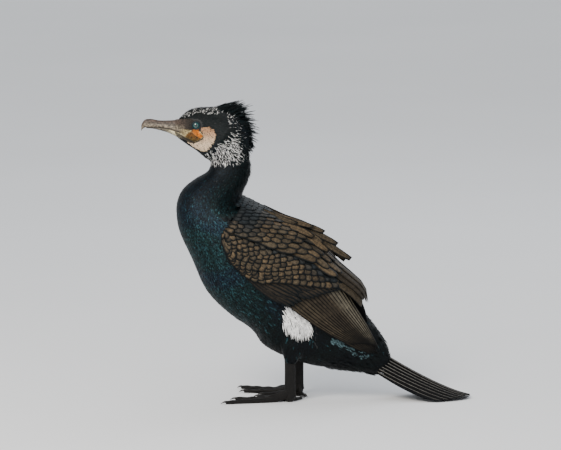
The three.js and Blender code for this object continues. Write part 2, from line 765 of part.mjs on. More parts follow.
for (const [side, word] of [[LEFT, 'left'], [RIGHT, 'right']]) {
  addNode(`eye_${word}`, eyeBall(side), FINISH.iris);
  addNode(
    `wing_${word}`,
    join([wingCore(side), ...wingFeathers(side)]).subtract(grownBody),
    FINISH.mottle,
  );
  addNode(`thigh_${word}`, thighSolid(side).subtract(grownBody), FINISH.plumage);
  addNode(
    `shank_${word}`,
    shankSolid(side)
      .trimByPlane([0, 0, -1], -(THIGH.bottom - GAP))
      .trimByPlane([0, 0, 1], SHANK.bottom + 1 + GAP),
    FINISH.leg,
  );
  addNode(`foot_${word}`, footSolid(side), FINISH.leg);
}

// The origin is on the floor, in the middle of the bird's outline from above
const reach = new THREE.Box3().setFromObject(bird);
const middle = reach.getCenter(new THREE.Vector3());
bird.position.set(-middle.x, -middle.y, -reach.min.z);
const model = new THREE.Group();
model.add(bird);

export default model;
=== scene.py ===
"""Great cormorant, an adult in breeding dress, as a life-size museum model.

The bird's form is worked out in millimetres, in the bird's own frame: it faces -X, its left
side is -Y, and it stands on z = 0. One shift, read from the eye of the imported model, and one
factor put every piece in its place in the shared frame.
"""
import logging
import math
from collections.abc import Callable, Sequence
from dataclasses import dataclass, field
from enum import Enum

import bmesh
import bpy
import numpy as np
from mathutils import Matrix, Vector
from mathutils.bvhtree import BVHTree


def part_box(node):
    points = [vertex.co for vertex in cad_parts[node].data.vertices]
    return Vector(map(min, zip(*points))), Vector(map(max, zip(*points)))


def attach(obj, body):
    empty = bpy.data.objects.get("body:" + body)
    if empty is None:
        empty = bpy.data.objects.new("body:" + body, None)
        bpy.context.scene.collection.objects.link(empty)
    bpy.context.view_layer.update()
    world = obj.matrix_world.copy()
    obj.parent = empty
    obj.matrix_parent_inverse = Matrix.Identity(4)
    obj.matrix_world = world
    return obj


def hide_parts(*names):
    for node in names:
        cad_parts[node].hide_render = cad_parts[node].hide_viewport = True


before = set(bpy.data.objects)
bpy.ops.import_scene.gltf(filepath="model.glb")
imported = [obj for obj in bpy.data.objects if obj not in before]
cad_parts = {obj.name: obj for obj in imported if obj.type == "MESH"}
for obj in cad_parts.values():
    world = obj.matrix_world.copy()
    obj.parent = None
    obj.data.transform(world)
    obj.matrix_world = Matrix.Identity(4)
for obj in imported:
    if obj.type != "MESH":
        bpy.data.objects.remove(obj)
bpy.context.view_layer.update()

log = logging.getLogger("cormorant")
MM = 0.001
BODY = "root"
# Width of a tuft's patch on its bake map, as a share of the map, and its arch over its half width
TUFT_PATCH = 0.003
TUFT_ARCH = 0.22
# Cells along each side of the bake map of a wing or of the back, and the share that a feather fills
CELLS = 26
CELL_FILL = 0.8
# Lowest point of any form over the floor, in millimetres
FLOOR_GAP = 0.05

Points = np.ndarray
Rows = Sequence[Sequence[float]]
Pair = tuple[float, float]
Triple = tuple[float, float, float]
Profile = tuple[Pair, ...]
Random = np.random.Generator
BMesh = bmesh.types.BMesh
Mesh = bpy.types.Mesh
Node = bpy.types.Node
Socket = bpy.types.NodeSocket
Tree = bpy.types.NodeTree
Material = bpy.types.Material
Materials = dict[str, Material]


class Side(Enum):
    """Side of the bird, as the sign of its Y."""

    LEFT = -1
    RIGHT = 1

    @property
    def word(self) -> str:
        """Lower-case name of the side."""
        return self.name.lower()


class Tint(Enum):
    """Colours of the bird, as sRGB hex."""

    BLACK = "#030506"
    TEAL = "#10292e"
    BLUE = "#101d2f"
    GREEN = "#0e2820"
    # Painted highlight, laid on a few feathers of the coat as glints
    GLINT = "#284c52"
    SLATE = "#151e23"
    BRONZE = "#3e3629"
    OLIVE_BROWN = "#29231a"
    WARM_BROWN = "#544531"
    QUILL_BROWN = "#15110d"
    PALE_EDGE = "#6b6556"
    TAIL_GREY = "#0d0f12"
    CREAM = "#e8d0b0"
    PINK_CREAM = "#a97b55"
    WHITE = "#fbfaf7"
    FLANK = "#415558"
    BILL_RIDGE = "#4a3c34"
    BILL_SIDE = "#857968"
    BILL_DARK = "#17120f"
    BILL_SHADE = "#221c18"
    BILL_GREY = "#7f766b"
    BILL_CREAM = "#dccfa8"
    BILL_KEEL = "#0f0c0a"
    LORES = "#4d4038"
    LORES_DARK = "#0d0b09"
    GAPE_CREAM = "#b9a676"
    GAPE_BROWN = "#3b2d18"
    POUCH_DARK = "#1f1607"
    POUCH_OLIVE = "#66501c"
    POUCH_AMBER = "#a85a06"
    ORANGE = "#a84a00"
    ORANGE_LIGHT = "#cf7800"
    EYE_RIM = "#04090a"


def linear(colour: str) -> tuple[float, float, float, float]:
    """Turn an sRGB hex colour into linear RGBA.

    Args:
        colour: Colour such as "#1a2b3c".

    Returns:
        Red, green, blue and alpha, with alpha 1.
    """
    parts = [int(colour[i:i + 2], 16) / 255 for i in (1, 3, 5)]
    flat = [p / 12.92 if p <= 0.04045 else ((p + 0.055) / 1.055) ** 2.4 for p in parts]
    return (flat[0], flat[1], flat[2], 1.0)


def rgb(tint: Tint) -> Points:
    """Linear RGB of a tint, as an array."""
    return np.array(linear(tint.value)[:3])


def unit(vectors: Points) -> Points:
    """Vectors scaled to length 1 along their last axis."""
    return vectors / np.maximum(np.linalg.norm(vectors, axis=-1, keepdims=True), 1e-9)


def mix(low: Points, high: Points, share: Points | float) -> Points:
    """Blend of two values, by the share of the second."""
    return low + (high - low) * share


def ramp(value: Points, start: float, width: float) -> Points:
    """Share that grows from 0 to 1 from a start on, or falls to 0 there where the width is negative."""
    return np.clip((value - start) / width, 0, 1)


def squared(value: Points, roundness: float) -> Points:
    """Sine or cosine bent for a squarer section; a roundness of 2 leaves an ellipse."""
    return np.sign(value) * np.abs(value) ** (2 / roundness)


def table_values(rows: Rows, at: Points | float) -> Points:
    """Read a table along a smooth curve through its rows.

    Args:
        rows: Rows whose first column is the position.
        at: Positions to read at.

    Returns:
        The other columns at each position, along the last axis.
    """
    table = np.asarray(rows, float)
    place = np.clip(np.asarray(at, float), table[0, 0], table[-1, 0])
    i = np.clip(np.searchsorted(table[:, 0], place) - 1, 0, len(table) - 2)
    before = np.clip(np.arange(len(table)) - 1, 0, None)
    after = np.clip(np.arange(len(table)) + 1, None, len(table) - 1)
    slope = (table[after] - table[before]) / (table[after, :1] - table[before, :1])
    span = (table[i + 1, 0] - table[i, 0])[..., None]
    t = (place - table[i, 0])[..., None] / span
    rise = t * t * (3 - 2 * t)
    leave = t * (1 - t) ** 2
    arrive = t * t * (t - 1)
    curve = mix(table[i], table[i + 1], rise) + span * (leave * slope[i] + arrive * slope[i + 1])
    return curve[..., 1:]


def inside(outline: Rows, points: Points) -> Points:
    """Tell which points lie inside a closed outline.

    Args:
        outline: Corners of the outline, as x and z.
        points: Points as x and z, one a row.

    Returns:
        True for each point inside.
    """
    corners = np.asarray(outline, float)
    hit = np.zeros(len(points), bool)
    for a, b in zip(corners, np.roll(corners, -1, axis=0)):
        crosses = (a[1] > points[:, 1]) != (b[1] > points[:, 1])
        level = (points[:, 1] - a[1]) / ((b[1] - a[1]) or 1e-9)
        hit ^= crosses & (points[:, 0] < a[0] + level * (b[0] - a[0]))
    return hit


def edge_distance(outline: Rows, points: Points) -> Points:
    """Distance of points from a closed outline, less than zero inside it.

    Args:
        outline: Corners of the outline, as x and z.
        points: Points as x and z, one a row.

    Returns:
        Signed distance of each point.
    """
    corners = np.asarray(outline, float)
    best = np.full(len(points), np.inf)
    for a, b in zip(corners, np.roll(corners, -1, axis=0)):
        t = np.clip((points - a) @ (b - a) / max((b - a) @ (b - a), 1e-9), 0, 1)
        best = np.minimum(best, np.linalg.norm(points - a - t[:, None] * (b - a), axis=1))
    return np.where(inside(outline, points), -best, best)


@dataclass(frozen=True)
class BirdForm:
    """Outer form of the bird, with the same values as the solids, in millimetres."""

    # Sections across neck and trunk: back x and z, front x and z, half width
    body: Rows = (
        (-87.5, 427.5, -127, 422.5, 21), (-73.1, 400.8, -136.1, 392.5, 26),
        (-70.5, 379.2, -141.9, 379.2, 29), (-73.4, 364.2, -161.7, 367.5, 33),
        (-78.7, 351.7, -180.7, 352.5, 38.5), (-82.8, 342.5, -190.9, 335, 44),
        (-83.3, 335, -193.9, 310.9, 50), (-72, 329, -188.3, 277.9, 58),
        (-52, 316, -168.5, 233.2, 65), (-24, 299, -145.2, 181, 69),
        (6, 281, -108.9, 142.6, 71), (36, 258, -70.6, 116, 69),
        (64, 221, -49.5, 88.5, 64), (88, 186, -11.6, 68.5, 57),
        (110, 153, 28, 55.1, 47), (133.3, 124, 71, 48.5, 36),
        (151.1, 98.5, 107.3, 44.3, 26), (158, 80, 135.3, 38.8, 18),
        (162, 64, 146, 46, 9),
    )
    body_roundness: float = 2.3
    # Rings, and points in a ring, of the body and of the head
    body_grid: tuple[int, int] = (110, 56)
    head_grid: tuple[int, int] = (60, 48)
    # Upright sections of the head: x, top, bottom, half width
    head: Rows = (
        (-193.5, 462.6, 436.5, 7.6), (-188.6, 466.4, 432.8, 10), (-183.2, 471.2, 429, 12.4),
        (-173.3, 478.8, 421.8, 16.2), (-160, 483.6, 413.4, 19.5), (-145.2, 485, 400.8, 22),
        (-128.7, 485, 392.5, 24), (-110.6, 482.5, 387.5, 24.5), (-94, 475, 390.9, 23.5),
        (-81.7, 462.5, 404.2, 19), (-74.3, 445.8, 420.8, 10),
    )
    head_roundness: float = 2.15
    # Folded wings round the trunk line: distance along, reach above, reach below, half width
    mantle: Rows = (
        (8, 65.5, -74.3, 67), (41, 72.5, -89.1, 75), (82, 80, -102.3, 79),
        (124, 89.9, -105.6, 81.5), (165, 87.5, -105.6, 81), (206, 80, -105.6, 77),
        (248, 74.3, -95.7, 70), (280, 62.7, -82.5, 62), (313, 46.2, -62.7, 53),
        (338, 31.4, -49.5, 45), (355, 19.8, -39.6, 38),
    )
    mantle_roundness: float = 2.35
    trunk_x: float = -133.7
    trunk_z: float = 294.0
    trunk_slope: float = 39.2
    # Edges of a folded wing along the trunk line: degrees round at the top edge, height of
    # the lower edge, and degrees round where scapulars and coverts meet
    wing_top: Rows = ((16, 34), (50, 21), (99, 9), (165, 4), (231, 4), (272, 8), (313, 35), (348, 70))
    wing_bottom: Rows = (
        (14, 8), (38, -10), (68, -21), (104, -28), (139, -28), (175, -24.5), (226, -21.6),
        (269, -15.5), (294, -9.5), (328, 0), (347, 12.5), (352, 14),
    )
    rear_edge: Rows = (
        (130, 84), (170, 80), (207, 72), (275, 45), (299, 36), (328, 23), (347, 14), (352, 14.5),
    )
    scapular_edge: Rows = (
        (14, 80), (46, 72), (77, 64), (110, 62), (135, 56), (156, 50), (191, 45), (212, 40), (240, 34),
    )
    # Middle of an eye and its radius, distance of a leg from the middle, and each leg's x
    eye: tuple[float, float, float, float] = (-159.2, 14.8, 456.8, 6.5)
    stance: float = 38.0
    leg_x: dict = field(default_factory=lambda: {Side.LEFT: -5.0, Side.RIGHT: 9.0})
    # Thigh, from the ankle up: height, shift backwards, half length and half width
    thigh: Rows = (
        (62, 1, 9.5, 7.5), (68, 1, 12.5, 10.5), (76, 2, 16, 13.5), (86, 3, 19.5, 16.5), (98, 5, 23, 18.5),
        (112, 7, 24, 19), (128, 10, 20, 16), (140, 12, 12, 10),
    )

    def body_rings(self) -> Points:
        """Rings round neck and trunk.

        Returns:
            Array of rings, points and coordinates.
        """
        count, sides = self.body_grid
        rows = [(i, *row) for i, row in enumerate(self.body)]
        value = table_values(rows, np.linspace(0, len(rows) - 1, count))
        back = np.stack([value[:, 0], 0 * value[:, 0], value[:, 1]], 1)
        front = np.stack([value[:, 2], 0 * value[:, 0], value[:, 3]], 1)
        turn = np.linspace(0, 2 * np.pi, sides, endpoint=False)
        reach = squared(np.cos(turn), self.body_roundness)[None, :, None]
        rings = (back + front)[:, None] / 2 + (back - front)[:, None] / 2 * reach
        rings[..., 1] = value[:, 4:5] * squared(np.sin(turn), self.body_roundness)
        return rings

    def head_rings(self) -> Points:
        """Upright rings of the head, from bill to nape.

        Returns:
            Array of rings, points and coordinates.
        """
        count, sides = self.head_grid
        x = np.linspace(self.head[0][0], self.head[-1][0], count)
        top, bottom, half = table_values(self.head, x).T
        turn = np.linspace(0, 2 * np.pi, sides, endpoint=False)
        rings = np.zeros((count, sides, 3))
        rings[..., 0] = x[:, None]
        rings[..., 1] = half[:, None] * squared(np.sin(turn), self.head_roundness)
        middle, reach = (top + bottom) / 2, (top - bottom) / 2
        rings[..., 2] = middle[:, None] + reach[:, None] * squared(np.cos(turn), self.head_roundness)
        return rings

    def head_reach(self, x: Points, z: Points) -> Points:
        """Half width of the head at given x and height.

        Args:
            x: Places along the head.
            z: Heights.

        Returns:
            Half width at each.
        """
        top, bottom, half = np.moveaxis(table_values(self.head, x), -1, 0)
        level = np.clip(np.abs(2 * (z - (top + bottom) / 2) / (top - bottom)), 0, 1)
        return half * (1 - level ** self.head_roundness) ** (1 / self.head_roundness)

    def eye_distance(self, flat: Points) -> Points:
        """Distance from the middle of the eye, for places as x and z."""
        return np.hypot(flat[:, 0] - self.eye[0], flat[:, 1] - self.eye[2])

    def centreline(self) -> Points:
        """Line from the bill's root through head, neck and trunk to the tail, in the XZ plane.

        Returns:
            Points from bill to tail.
        """
        head = [(-192, 452), (-175, 452), (-155, 450), (-135, 445), (-118, 435), (-108, 420)]
        body = [((b[0] + b[2]) / 2, (b[1] + b[3]) / 2) for b in self.body[1:]]
        stops = [(i, *p) for i, p in enumerate([*head, *body, (200, 30)])]
        line = table_values(stops, np.linspace(0, len(stops) - 1, 260))
        return np.stack([line[:, 0], 0 * line[:, 0], line[:, 1]], 1)

    def guide(self, along: Points, turn: Points, side: Side, lift: Points | float = 0.0) -> Points:
        """Points on the surface that a folded wing lies on.

        Args:
            along: Distance along the trunk line.
            turn: Degrees round from the ridge of the back.
            side: Side of the bird.
            lift: Height over the surface.

        Returns:
            Points along the last axis.
        """
        along, turn, lift = np.broadcast_arrays(along, turn, lift)
        above, below, wide = np.moveaxis(table_values(self.mantle, along), -1, 0)
        half = (above - below) / 2 + lift
        angle, slope = np.radians(turn), math.radians(self.trunk_slope)
        reach = (above + below) / 2 + half * squared(np.cos(angle), self.mantle_roundness)
        return np.stack([
            self.trunk_x + along * math.cos(slope) + reach * math.sin(slope),
            side.value * (wide + lift) * squared(np.sin(angle), self.mantle_roundness),
            self.trunk_z - along * math.sin(slope) + reach * math.cos(slope),
        ], -1)

    def turn_at(self, along: Points, reach: Points) -> Points:
        """Degrees round from the ridge where the wing's surface has a given height.

        Args:
            along: Distances along the trunk line.
            reach: Heights over it.

        Returns:
            Degrees round.
        """
        above, below, _ = np.moveaxis(table_values(self.mantle, along), -1, 0)
        share = np.clip((reach - (above + below) / 2) / ((above - below) / 2), -1, 1)
        return np.degrees(np.arccos(np.sign(share) * np.abs(share) ** (self.mantle_roundness / 2)))

    def lower_turn(self, along: Points) -> Points:
        """Degrees round from the ridge at the folded wing's lower edge."""
        return self.turn_at(along, table_values(self.wing_bottom, along)[..., 0])

    def trunk_place(self, points: Points) -> tuple[Points, Points]:
        """Distance along the trunk line and height over it, for each point.

        Args:
            points: Points of the trunk.

        Returns:
            Distances and heights.
        """
        slope = math.radians(self.trunk_slope)
        x, z = points[:, 0] - self.trunk_x, points[:, 2] - self.trunk_z
        return (x * math.cos(slope) - z * math.sin(slope), x * math.sin(slope) + z * math.cos(slope))

    def under_wing(self, points: Points, margin: float) -> Points:
        """Tell which points of the trunk a folded wing hides, with a margin at its edges.

        Args:
            points: Points of the trunk.
            margin: Distance inside the edges.

        Returns:
            True for each point that is hidden.
        """
        along, height = self.trunk_place(points)
        top = np.abs(self.guide(along, table_values(self.wing_top, along)[..., 0], Side.RIGHT)[:, 1])
        low = table_values(self.wing_bottom, along)[..., 0]
        covered = (np.abs(points[:, 1]) > top + margin) & (height > low + margin)
        return covered & (along > 18 + margin) & (along < 318)


FORM = BirdForm()


def frame_shift() -> Points:
    """Way from the bird's own origin to the frame's, in millimetres, read from the left eye.

    Returns:
        The way along x, y and z.
    """
    low, high = (np.array(corner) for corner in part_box("eye_left"))
    x, y, z, _ = FORM.eye
    return (low + high) / 2 / MM - np.array([x, -y, z])


SHIFT = frame_shift()


def add_node(tree: Tree, kind: str, inputs: dict | None = None, **settings: object) -> Node:
    """Add a shader node with its settings and inputs.

    Args:
        tree: Node tree.
        kind: Node type, without its "ShaderNode" beginning.
        inputs: Input name or number to its value, or to the output socket that feeds it.
        settings: Properties of the node.

    Returns:
        The new node.
    """
    node = tree.nodes.new(f"ShaderNode{kind}")
    for name, value in settings.items():
        setattr(node, name, value)
    for name, value in (inputs or {}).items():
        if isinstance(value, Socket):
            tree.links.new(value, node.inputs[name])
        else:
            node.inputs[name].default_value = value
    return node


def maths(tree: Tree, operation: str, *terms: Socket | float) -> Socket:
    """Result of a math node over sockets or numbers."""
    return add_node(tree, "Math", dict(enumerate(terms)), operation=operation).outputs[0]


def rescaled(tree: Tree, source: Socket, low: float, high: float, start: float, end: float) -> Socket:
    """Result of a node that turns low to high into start to end, and holds these beyond."""
    return add_node(tree, "MapRange", dict(enumerate((source, low, high, start, end)))).outputs[0]


def scaled(tree: Tree, colour: Socket | Sequence[float], share: Socket) -> Socket:
    """Result of a node that multiplies a colour by a share."""
    return add_node(tree, "VectorMath", {0: colour, "Scale": share}, operation="SCALE").outputs[0]


def clouds(tree: Tree, size_mm: float, detail: float) -> Socket:
    """Noise with a size in millimetres, in the object's own space.

    Args:
        tree: Node tree.
        size_mm: Size of the noise.
        detail: Its levels of detail.

    Returns:
        The noise, from 0 to 1.
    """
    place = add_node(tree, "TexCoord").outputs["Object"]
    scale = 1 / (size_mm * MM)
    return add_node(tree, "TexNoise", {"Vector": place, "Scale": scale, "Detail": detail}).outputs["Fac"]


def ramp_node(tree: Tree, source: Socket, stops: Sequence[tuple[float, str]]) -> Socket:
    """Add a colour ramp.

    Args:
        tree: Node tree.
        source: Socket that drives the ramp.
        stops: Positions and sRGB hex colours.

    Returns:
        The ramp's colour socket.
    """
    node = add_node(tree, "ValToRGB", {"Fac": source})
    elements = node.color_ramp.elements
    while len(elements) < len(stops):
        elements.new(0.5)
    for element, (place, colour) in zip(elements, stops):
        element.position = place
        element.color = linear(colour)
    return node.outputs["Color"]


@dataclass(frozen=True)
class Finish:
    """Base of the finishes: a named Principled surface with even values on its sockets."""

    name: str
    roughness: float = 0.5
    metallic: float = 0.0
    coat: float = 0.0
    sheen: float = 0.0
    ior: float = 1.5

    def start(self) -> tuple[Material, Tree, Node]:
        """Make the material and its Principled node.

        Returns:
            The material, its node tree and the Principled node.
        """
        material = bpy.data.materials.new(self.name)
        material.use_nodes = True
        tree = material.node_tree
        surface = tree.nodes["Principled BSDF"]
        surface.inputs["Roughness"].default_value = self.roughness
        surface.inputs["Metallic"].default_value = self.metallic
        surface.inputs["Coat Weight"].default_value = self.coat
        surface.inputs["Sheen Weight"].default_value = self.sheen
        surface.inputs["IOR"].default_value = self.ior
        return material, tree, surface

    def bump(self, tree: Tree, surface: Node, height: Socket, depth_mm: float, strength: float) -> None:
        """Feed a height pattern from 0 to 1 to the surface as bump, with its depth in millimetres."""
        node = add_node(tree, "Bump", {"Strength": strength, "Distance": depth_mm * MM, "Height": height})
        tree.links.new(node.outputs["Normal"], surface.inputs["Normal"])


@dataclass(frozen=True)
class VaneFinish(Finish):
    """Feather vane: keratin barbs lying side by side, which break the light into fine lines.

    The vane attribute holds millimetres across from the shaft, millimetres along it and
    millimetres in from the rim. The tint attribute holds the colour.
    """

    rim_mm: float = 1.5
    rim_colour: str = "#0b0f11"
    rim_share: float = 0.9
    shaft_mm: float = 0.35
    shaft_colour: str = "#15120f"
    shaft_share: float = 0.6
    barb_mm: float = 0.9
    # How far the barbs' lines slant along the shaft, at about 40 degrees from it
    barb_slant: float = 1.15
    barb_relief_mm: float = 0.06
    barb_depth: float = 0.35
    barb_contrast: float = 0.35
    # Painted highlight on the middle of the vane, and how far in from the rim it is full
    glow: float = 0.0
    glow_mm: float = 2.6
    cloud_mm: float = 6.0
    cloud_range: Pair = (0.72, 1.3)

    def material(self) -> Material:
        """Build the material.

        Returns:
            The material.
        """
        material, tree, surface = self.start()
        vane = add_node(tree, "Attribute", attribute_name="vane").outputs["Vector"]
        tint = add_node(tree, "Attribute", attribute_name="tint").outputs["Color"]
        split = add_node(tree, "SeparateXYZ", {0: vane})
        across, depth = maths(tree, "ABSOLUTE", split.outputs["X"]), split.outputs["Z"]
        slant = maths(tree, "MULTIPLY", across, self.barb_slant)
        course = maths(tree, "SUBTRACT", split.outputs["Y"], slant)
        barbs = maths(tree, "SINE", maths(tree, "MULTIPLY", course, 2 * math.pi / self.barb_mm))
        level = rescaled(tree, barbs, -1, 1, 1 - self.barb_contrast, 1 + self.barb_contrast / 2)
        shade = rescaled(tree, clouds(tree, self.cloud_mm, 3.0), 0.35, 0.68, *self.cloud_range)
        # Painted highlight: the vane is dimmer next to its rim and brighter in its middle
        middle = rescaled(tree, depth, self.rim_mm, self.rim_mm + self.glow_mm, 1 - self.glow / 2,
                          1 + self.glow)
        colour = scaled(tree, tint, maths(tree, "MULTIPLY", level, maths(tree, "MULTIPLY", shade, middle)))
        colour = self.band(tree, colour, depth, self.rim_mm, self.rim_colour, self.rim_share)
        colour = self.band(tree, colour, across, self.shaft_mm, self.shaft_colour, self.shaft_share)
        tree.links.new(colour, surface.inputs["Base Color"])
        self.bump(tree, surface, barbs, self.barb_relief_mm, self.barb_depth)
        return material

    @staticmethod
    def band(tree: Tree, base: Socket, distance: Socket, width: float, colour: str, share: float) -> Socket:
        """Lay a soft band of colour along a line or edge, as wide as given in millimetres."""
        near = rescaled(tree, distance, 0.55 * width, 1.25 * width, share, 0)
        return add_node(tree, "Mix", {0: near, 6: base, 7: linear(colour)}, data_type="RGBA").outputs[2]


@dataclass(frozen=True)
class MottleFinish(Finish):
    """Horn or bare skin: a ground colour with grain at two sizes and fine relief."""

    stops: tuple[tuple[float, str], ...] = ((0.3, "#2b2620"), (0.7, "#8b8071"))
    grain_mm: Triple = (4.0, 1.5, 1.2)
    detail: float = 6.0
    relief_mm: float = 0.15
    pores_mm: float = 0.0
    # Share of the tint attribute in the colour, and how far the grain dims and brightens it
    paint_share: float = 0.0
    mottle: Pair = (0.6, 1.25)

    def material(self) -> Material:
        """Build the material.

        Returns:
            The material.
        """
        material, tree, surface = self.start()
        place = add_node(tree, "TexCoord").outputs["Object"]
        scale = [1 / (size * MM) for size in self.grain_mm]
        fit = add_node(tree, "Mapping", {"Vector": place, "Scale": scale}).outputs[0]
        grain = add_node(tree, "TexNoise", {"Vector": fit, "Scale": 1.0, "Detail": self.detail,
                                            "Roughness": 0.62, "Distortion": 0.6}).outputs["Fac"]
        colour = ramp_node(tree, grain, self.stops)
        if self.paint_share:
            tint = add_node(tree, "Attribute", attribute_name="tint").outputs["Color"]
            tint = scaled(tree, tint, rescaled(tree, grain, 0.35, 0.65, *self.mottle))
            blend = add_node(tree, "Mix", {0: self.paint_share, 6: colour, 7: tint}, data_type="RGBA")
            colour = blend.outputs[2]
        tree.links.new(colour, surface.inputs["Base Color"])
        height = grain
        if self.pores_mm:
            cells = add_node(tree, "TexVoronoi", {"Vector": place, "Scale": 1 / (self.pores_mm * MM)},
                             feature="DISTANCE_TO_EDGE")
            height = rescaled(tree, cells.outputs["Distance"], 0, 0.12, 0, 1)
        self.bump(tree, surface, height, self.relief_mm, 0.8)
        return material


@dataclass(frozen=True)
class EyeFinish(Finish):
    """Wet eye: an emerald iris round a black pupil, dark at its rim."""

    centre: Pair = (0.0, 0.0)
    pupil_mm: float = 1.9
    iris_mm: float = 4.8
    ragged_mm: float = 0.6

    def material(self) -> Material:
        """Build the material.

        Returns:
            The material.
        """
        material, tree, surface = self.start()
        place = add_node(tree, "TexCoord").outputs["Object"]
        start = (-self.centre[0], 0, -self.centre[1])
        moved = add_node(tree, "Mapping", {"Vector": place, "Location": start, "Scale": (1, 0, 1)})
        length = add_node(tree, "VectorMath", {0: moved.outputs[0]}, operation="LENGTH")
        radius = length.outputs["Value"]
        ragged = maths(tree, "MULTIPLY_ADD", clouds(tree, 0.7, 4.0), self.ragged_mm * MM, radius)
        share = maths(tree, "DIVIDE", ragged, (self.iris_mm + self.ragged_mm / 2) * MM)
        pupil = self.pupil_mm / self.iris_mm
        stops = ((pupil * 0.96, "#010202"), (pupil * 1.15, "#02211f"), (0.72, "#044843"),
                 (0.84, "#065a55"), (0.92, "#020f0e"))
        tree.links.new(ramp_node(tree, share, stops), surface.inputs["Base Color"])
        return material


@dataclass(frozen=True)
class PlainFinish(Finish):
    """Even painted surface with a faint cloudy change of shade, as on a studio floor."""

    colour: str = "#d9dadb"
    cloud_mm: float = 700.0

    def material(self) -> Material:
        """Build the material.

        Returns:
            The material.
        """
        material, tree, surface = self.start()
        shade = rescaled(tree, clouds(tree, self.cloud_mm, 2.0), 0, 1, 0.96, 1.04)
        tree.links.new(scaled(tree, linear(self.colour)[:3], shade), surface.inputs["Base Color"])
        return material


def linked(name: str, data: bpy.types.ID) -> bpy.types.Object:
    """New object of the scene, with its data.

    Args:
        name: Name of the object.
        data: Its mesh, light or camera.

    Returns:
        The object.
    """
    item = bpy.data.objects.new(name, data)
    bpy.context.scene.collection.objects.link(item)
    return item


def show(mesh: Mesh, material: Material) -> bpy.types.Object:
    """Put a finished mesh in the scene as a smooth-shaded object of the same name.

    Args:
        mesh: Mesh in metres, in its place.
        material: Its material.

    Returns:
        The object.
    """
    mesh.materials.append(material)
    mesh.shade_smooth()
    return linked(mesh.name, mesh)


def add_piece(mesh: Mesh, material: Material, slot: str, *nodes: str) -> None:
    """Show a mesh as a piece of the bird, which rides on it and may stand for nodes.

    Args:
        mesh: Mesh in the frame, named as the piece.
        material: Its material.
        slot: Material slot of the record; not used.
        nodes: Nodes that the piece stands for.
    """
    piece = show(mesh, material)
    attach(piece, BODY)
    if nodes:
        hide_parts(*nodes)
    log.info("%s: %d faces", piece.name, len(mesh.polygons))


def read_vectors(mesh: Mesh, name: str) -> Points:
    """Places or normals of a mesh's vertices, one a row.

    Args:
        mesh: Mesh to read.
        name: What to read: co or normal.

    Returns:
        Array of vertices and coordinates.
    """
    flat = np.empty(len(mesh.vertices) * 3)
    mesh.vertices.foreach_get(name, flat)
    return flat.reshape(-1, 3)


def store_vectors(mesh: Mesh, name: str, values: Points) -> None:
    """Store three numbers for each vertex in an attribute, as a colour where it is the tint.

    Args:
        mesh: Mesh to add to.
        name: Name of the attribute.
        values: Numbers, one row for each vertex.
    """
    if name == "tint":
        values = np.concatenate([values, np.ones((len(values), 1))], 1)
        data = mesh.attributes.new(name, "FLOAT_COLOR", "POINT").data
        data.foreach_set("color", values.astype(np.float32).ravel())
    else:
        data = mesh.attributes.new(name, "FLOAT_VECTOR", "POINT").data
        data.foreach_set("vector", values.astype(np.float32).ravel())


def loft(rings: Points) -> BMesh:
    """Shape a grid into a closed tube through rings of points.

    Args:
        rings: Array of rings, points and coordinates, in millimetres.

    Returns:
        The new bmesh.
    """
    count, sides = rings.shape[:2]
    bm = bmesh.new()
    bmesh.ops.create_grid(bm, x_segments=sides, y_segments=count - 1, size=1.0)
    order = sorted(bm.verts, key=lambda v: (round(v.co.y, 5), round(v.co.x, 5)))
    for k, vert in enumerate(order):
        row, column = divmod(k, sides + 1)
        vert.co = rings[row, column % sides]
    bmesh.ops.remove_doubles(bm, verts=bm.verts[:], dist=1e-4)
    bmesh.ops.holes_fill(bm, edges=[e for e in bm.edges if e.is_boundary])
    bmesh.ops.recalc_face_normals(bm, faces=bm.faces[:])
    return bm


def tube(path: Points, halves: Points, sides: int, up: Sequence[float] = (0, 0, 1)) -> Points:
    """Rings along a path, each with its own half width and half height.

    Args:
        path: Points of the path.
        halves: Half width and half height at each point.
        sides: Points in a ring.
        up: Direction that the half height is measured in.

    Returns:
        Array of rings, points and coordinates.
    """
    ahead = unit(np.gradient(path, axis=0))
    across = unit(np.cross(ahead, np.asarray(up, float)))
    over = np.cross(across, ahead)
    turn = np.linspace(0, 2 * np.pi, sides, endpoint=False)
    return (path[:, None]
            + across[:, None] * (halves[:, :1] * np.cos(turn))[..., None]
            + over[:, None] * (halves[:, 1:] * np.sin(turn))[..., None])


def joined(parts: Sequence[BMesh]) -> BMesh:
    """Gather several bmeshes in one, and free them.

    Args:
        parts: Bmeshes to gather.

    Returns:
        The new bmesh.
    """
    whole = bmesh.new()
    for part in parts:
        mesh = bpy.data.meshes.new("part")
        part.to_mesh(mesh)
        part.free()
        whole.from_mesh(mesh)
        bpy.data.meshes.remove(mesh)
    return whole


def placed_mesh(bm: BMesh, name: str) -> Mesh:
    """Turn a bmesh in the bird's own millimetres into a mesh in the frame, and free it.

    Args:
        bm: The form.
        name: Name of the mesh.

    Returns:
        The mesh.
    """
    bmesh.ops.translate(bm, verts=bm.verts[:], vec=Vector(SHIFT))
    bmesh.ops.scale(bm, verts=bm.verts[:], vec=(MM, MM, MM))
    mesh = bpy.data.meshes.new(name)
    bm.to_mesh(mesh)
    bm.free()
    return mesh


def remeshed(bm: BMesh, voxel_mm: float, smooth: int) -> Mesh:
    """Fuse overlapping forms into one surface.

    Args:
        bm: Forms in the bird's own millimetres.
        voxel_mm: Size of the remesh.
        smooth: Rounds of smoothing.

    Returns:
        The fused mesh, in the frame.
    """
    source = linked("fused", placed_mesh(bm, "fused"))
    remesh = source.modifiers.new("fuse", "REMESH")
    remesh.mode = "VOXEL"
    remesh.voxel_size = voxel_mm * MM
    relax = source.modifiers.new("relax", "SMOOTH")
    relax.iterations = smooth
    result = bpy.data.meshes.new_from_object(source.evaluated_get(bpy.context.evaluated_depsgraph_get()))
    bpy.data.objects.remove(source)
    return result


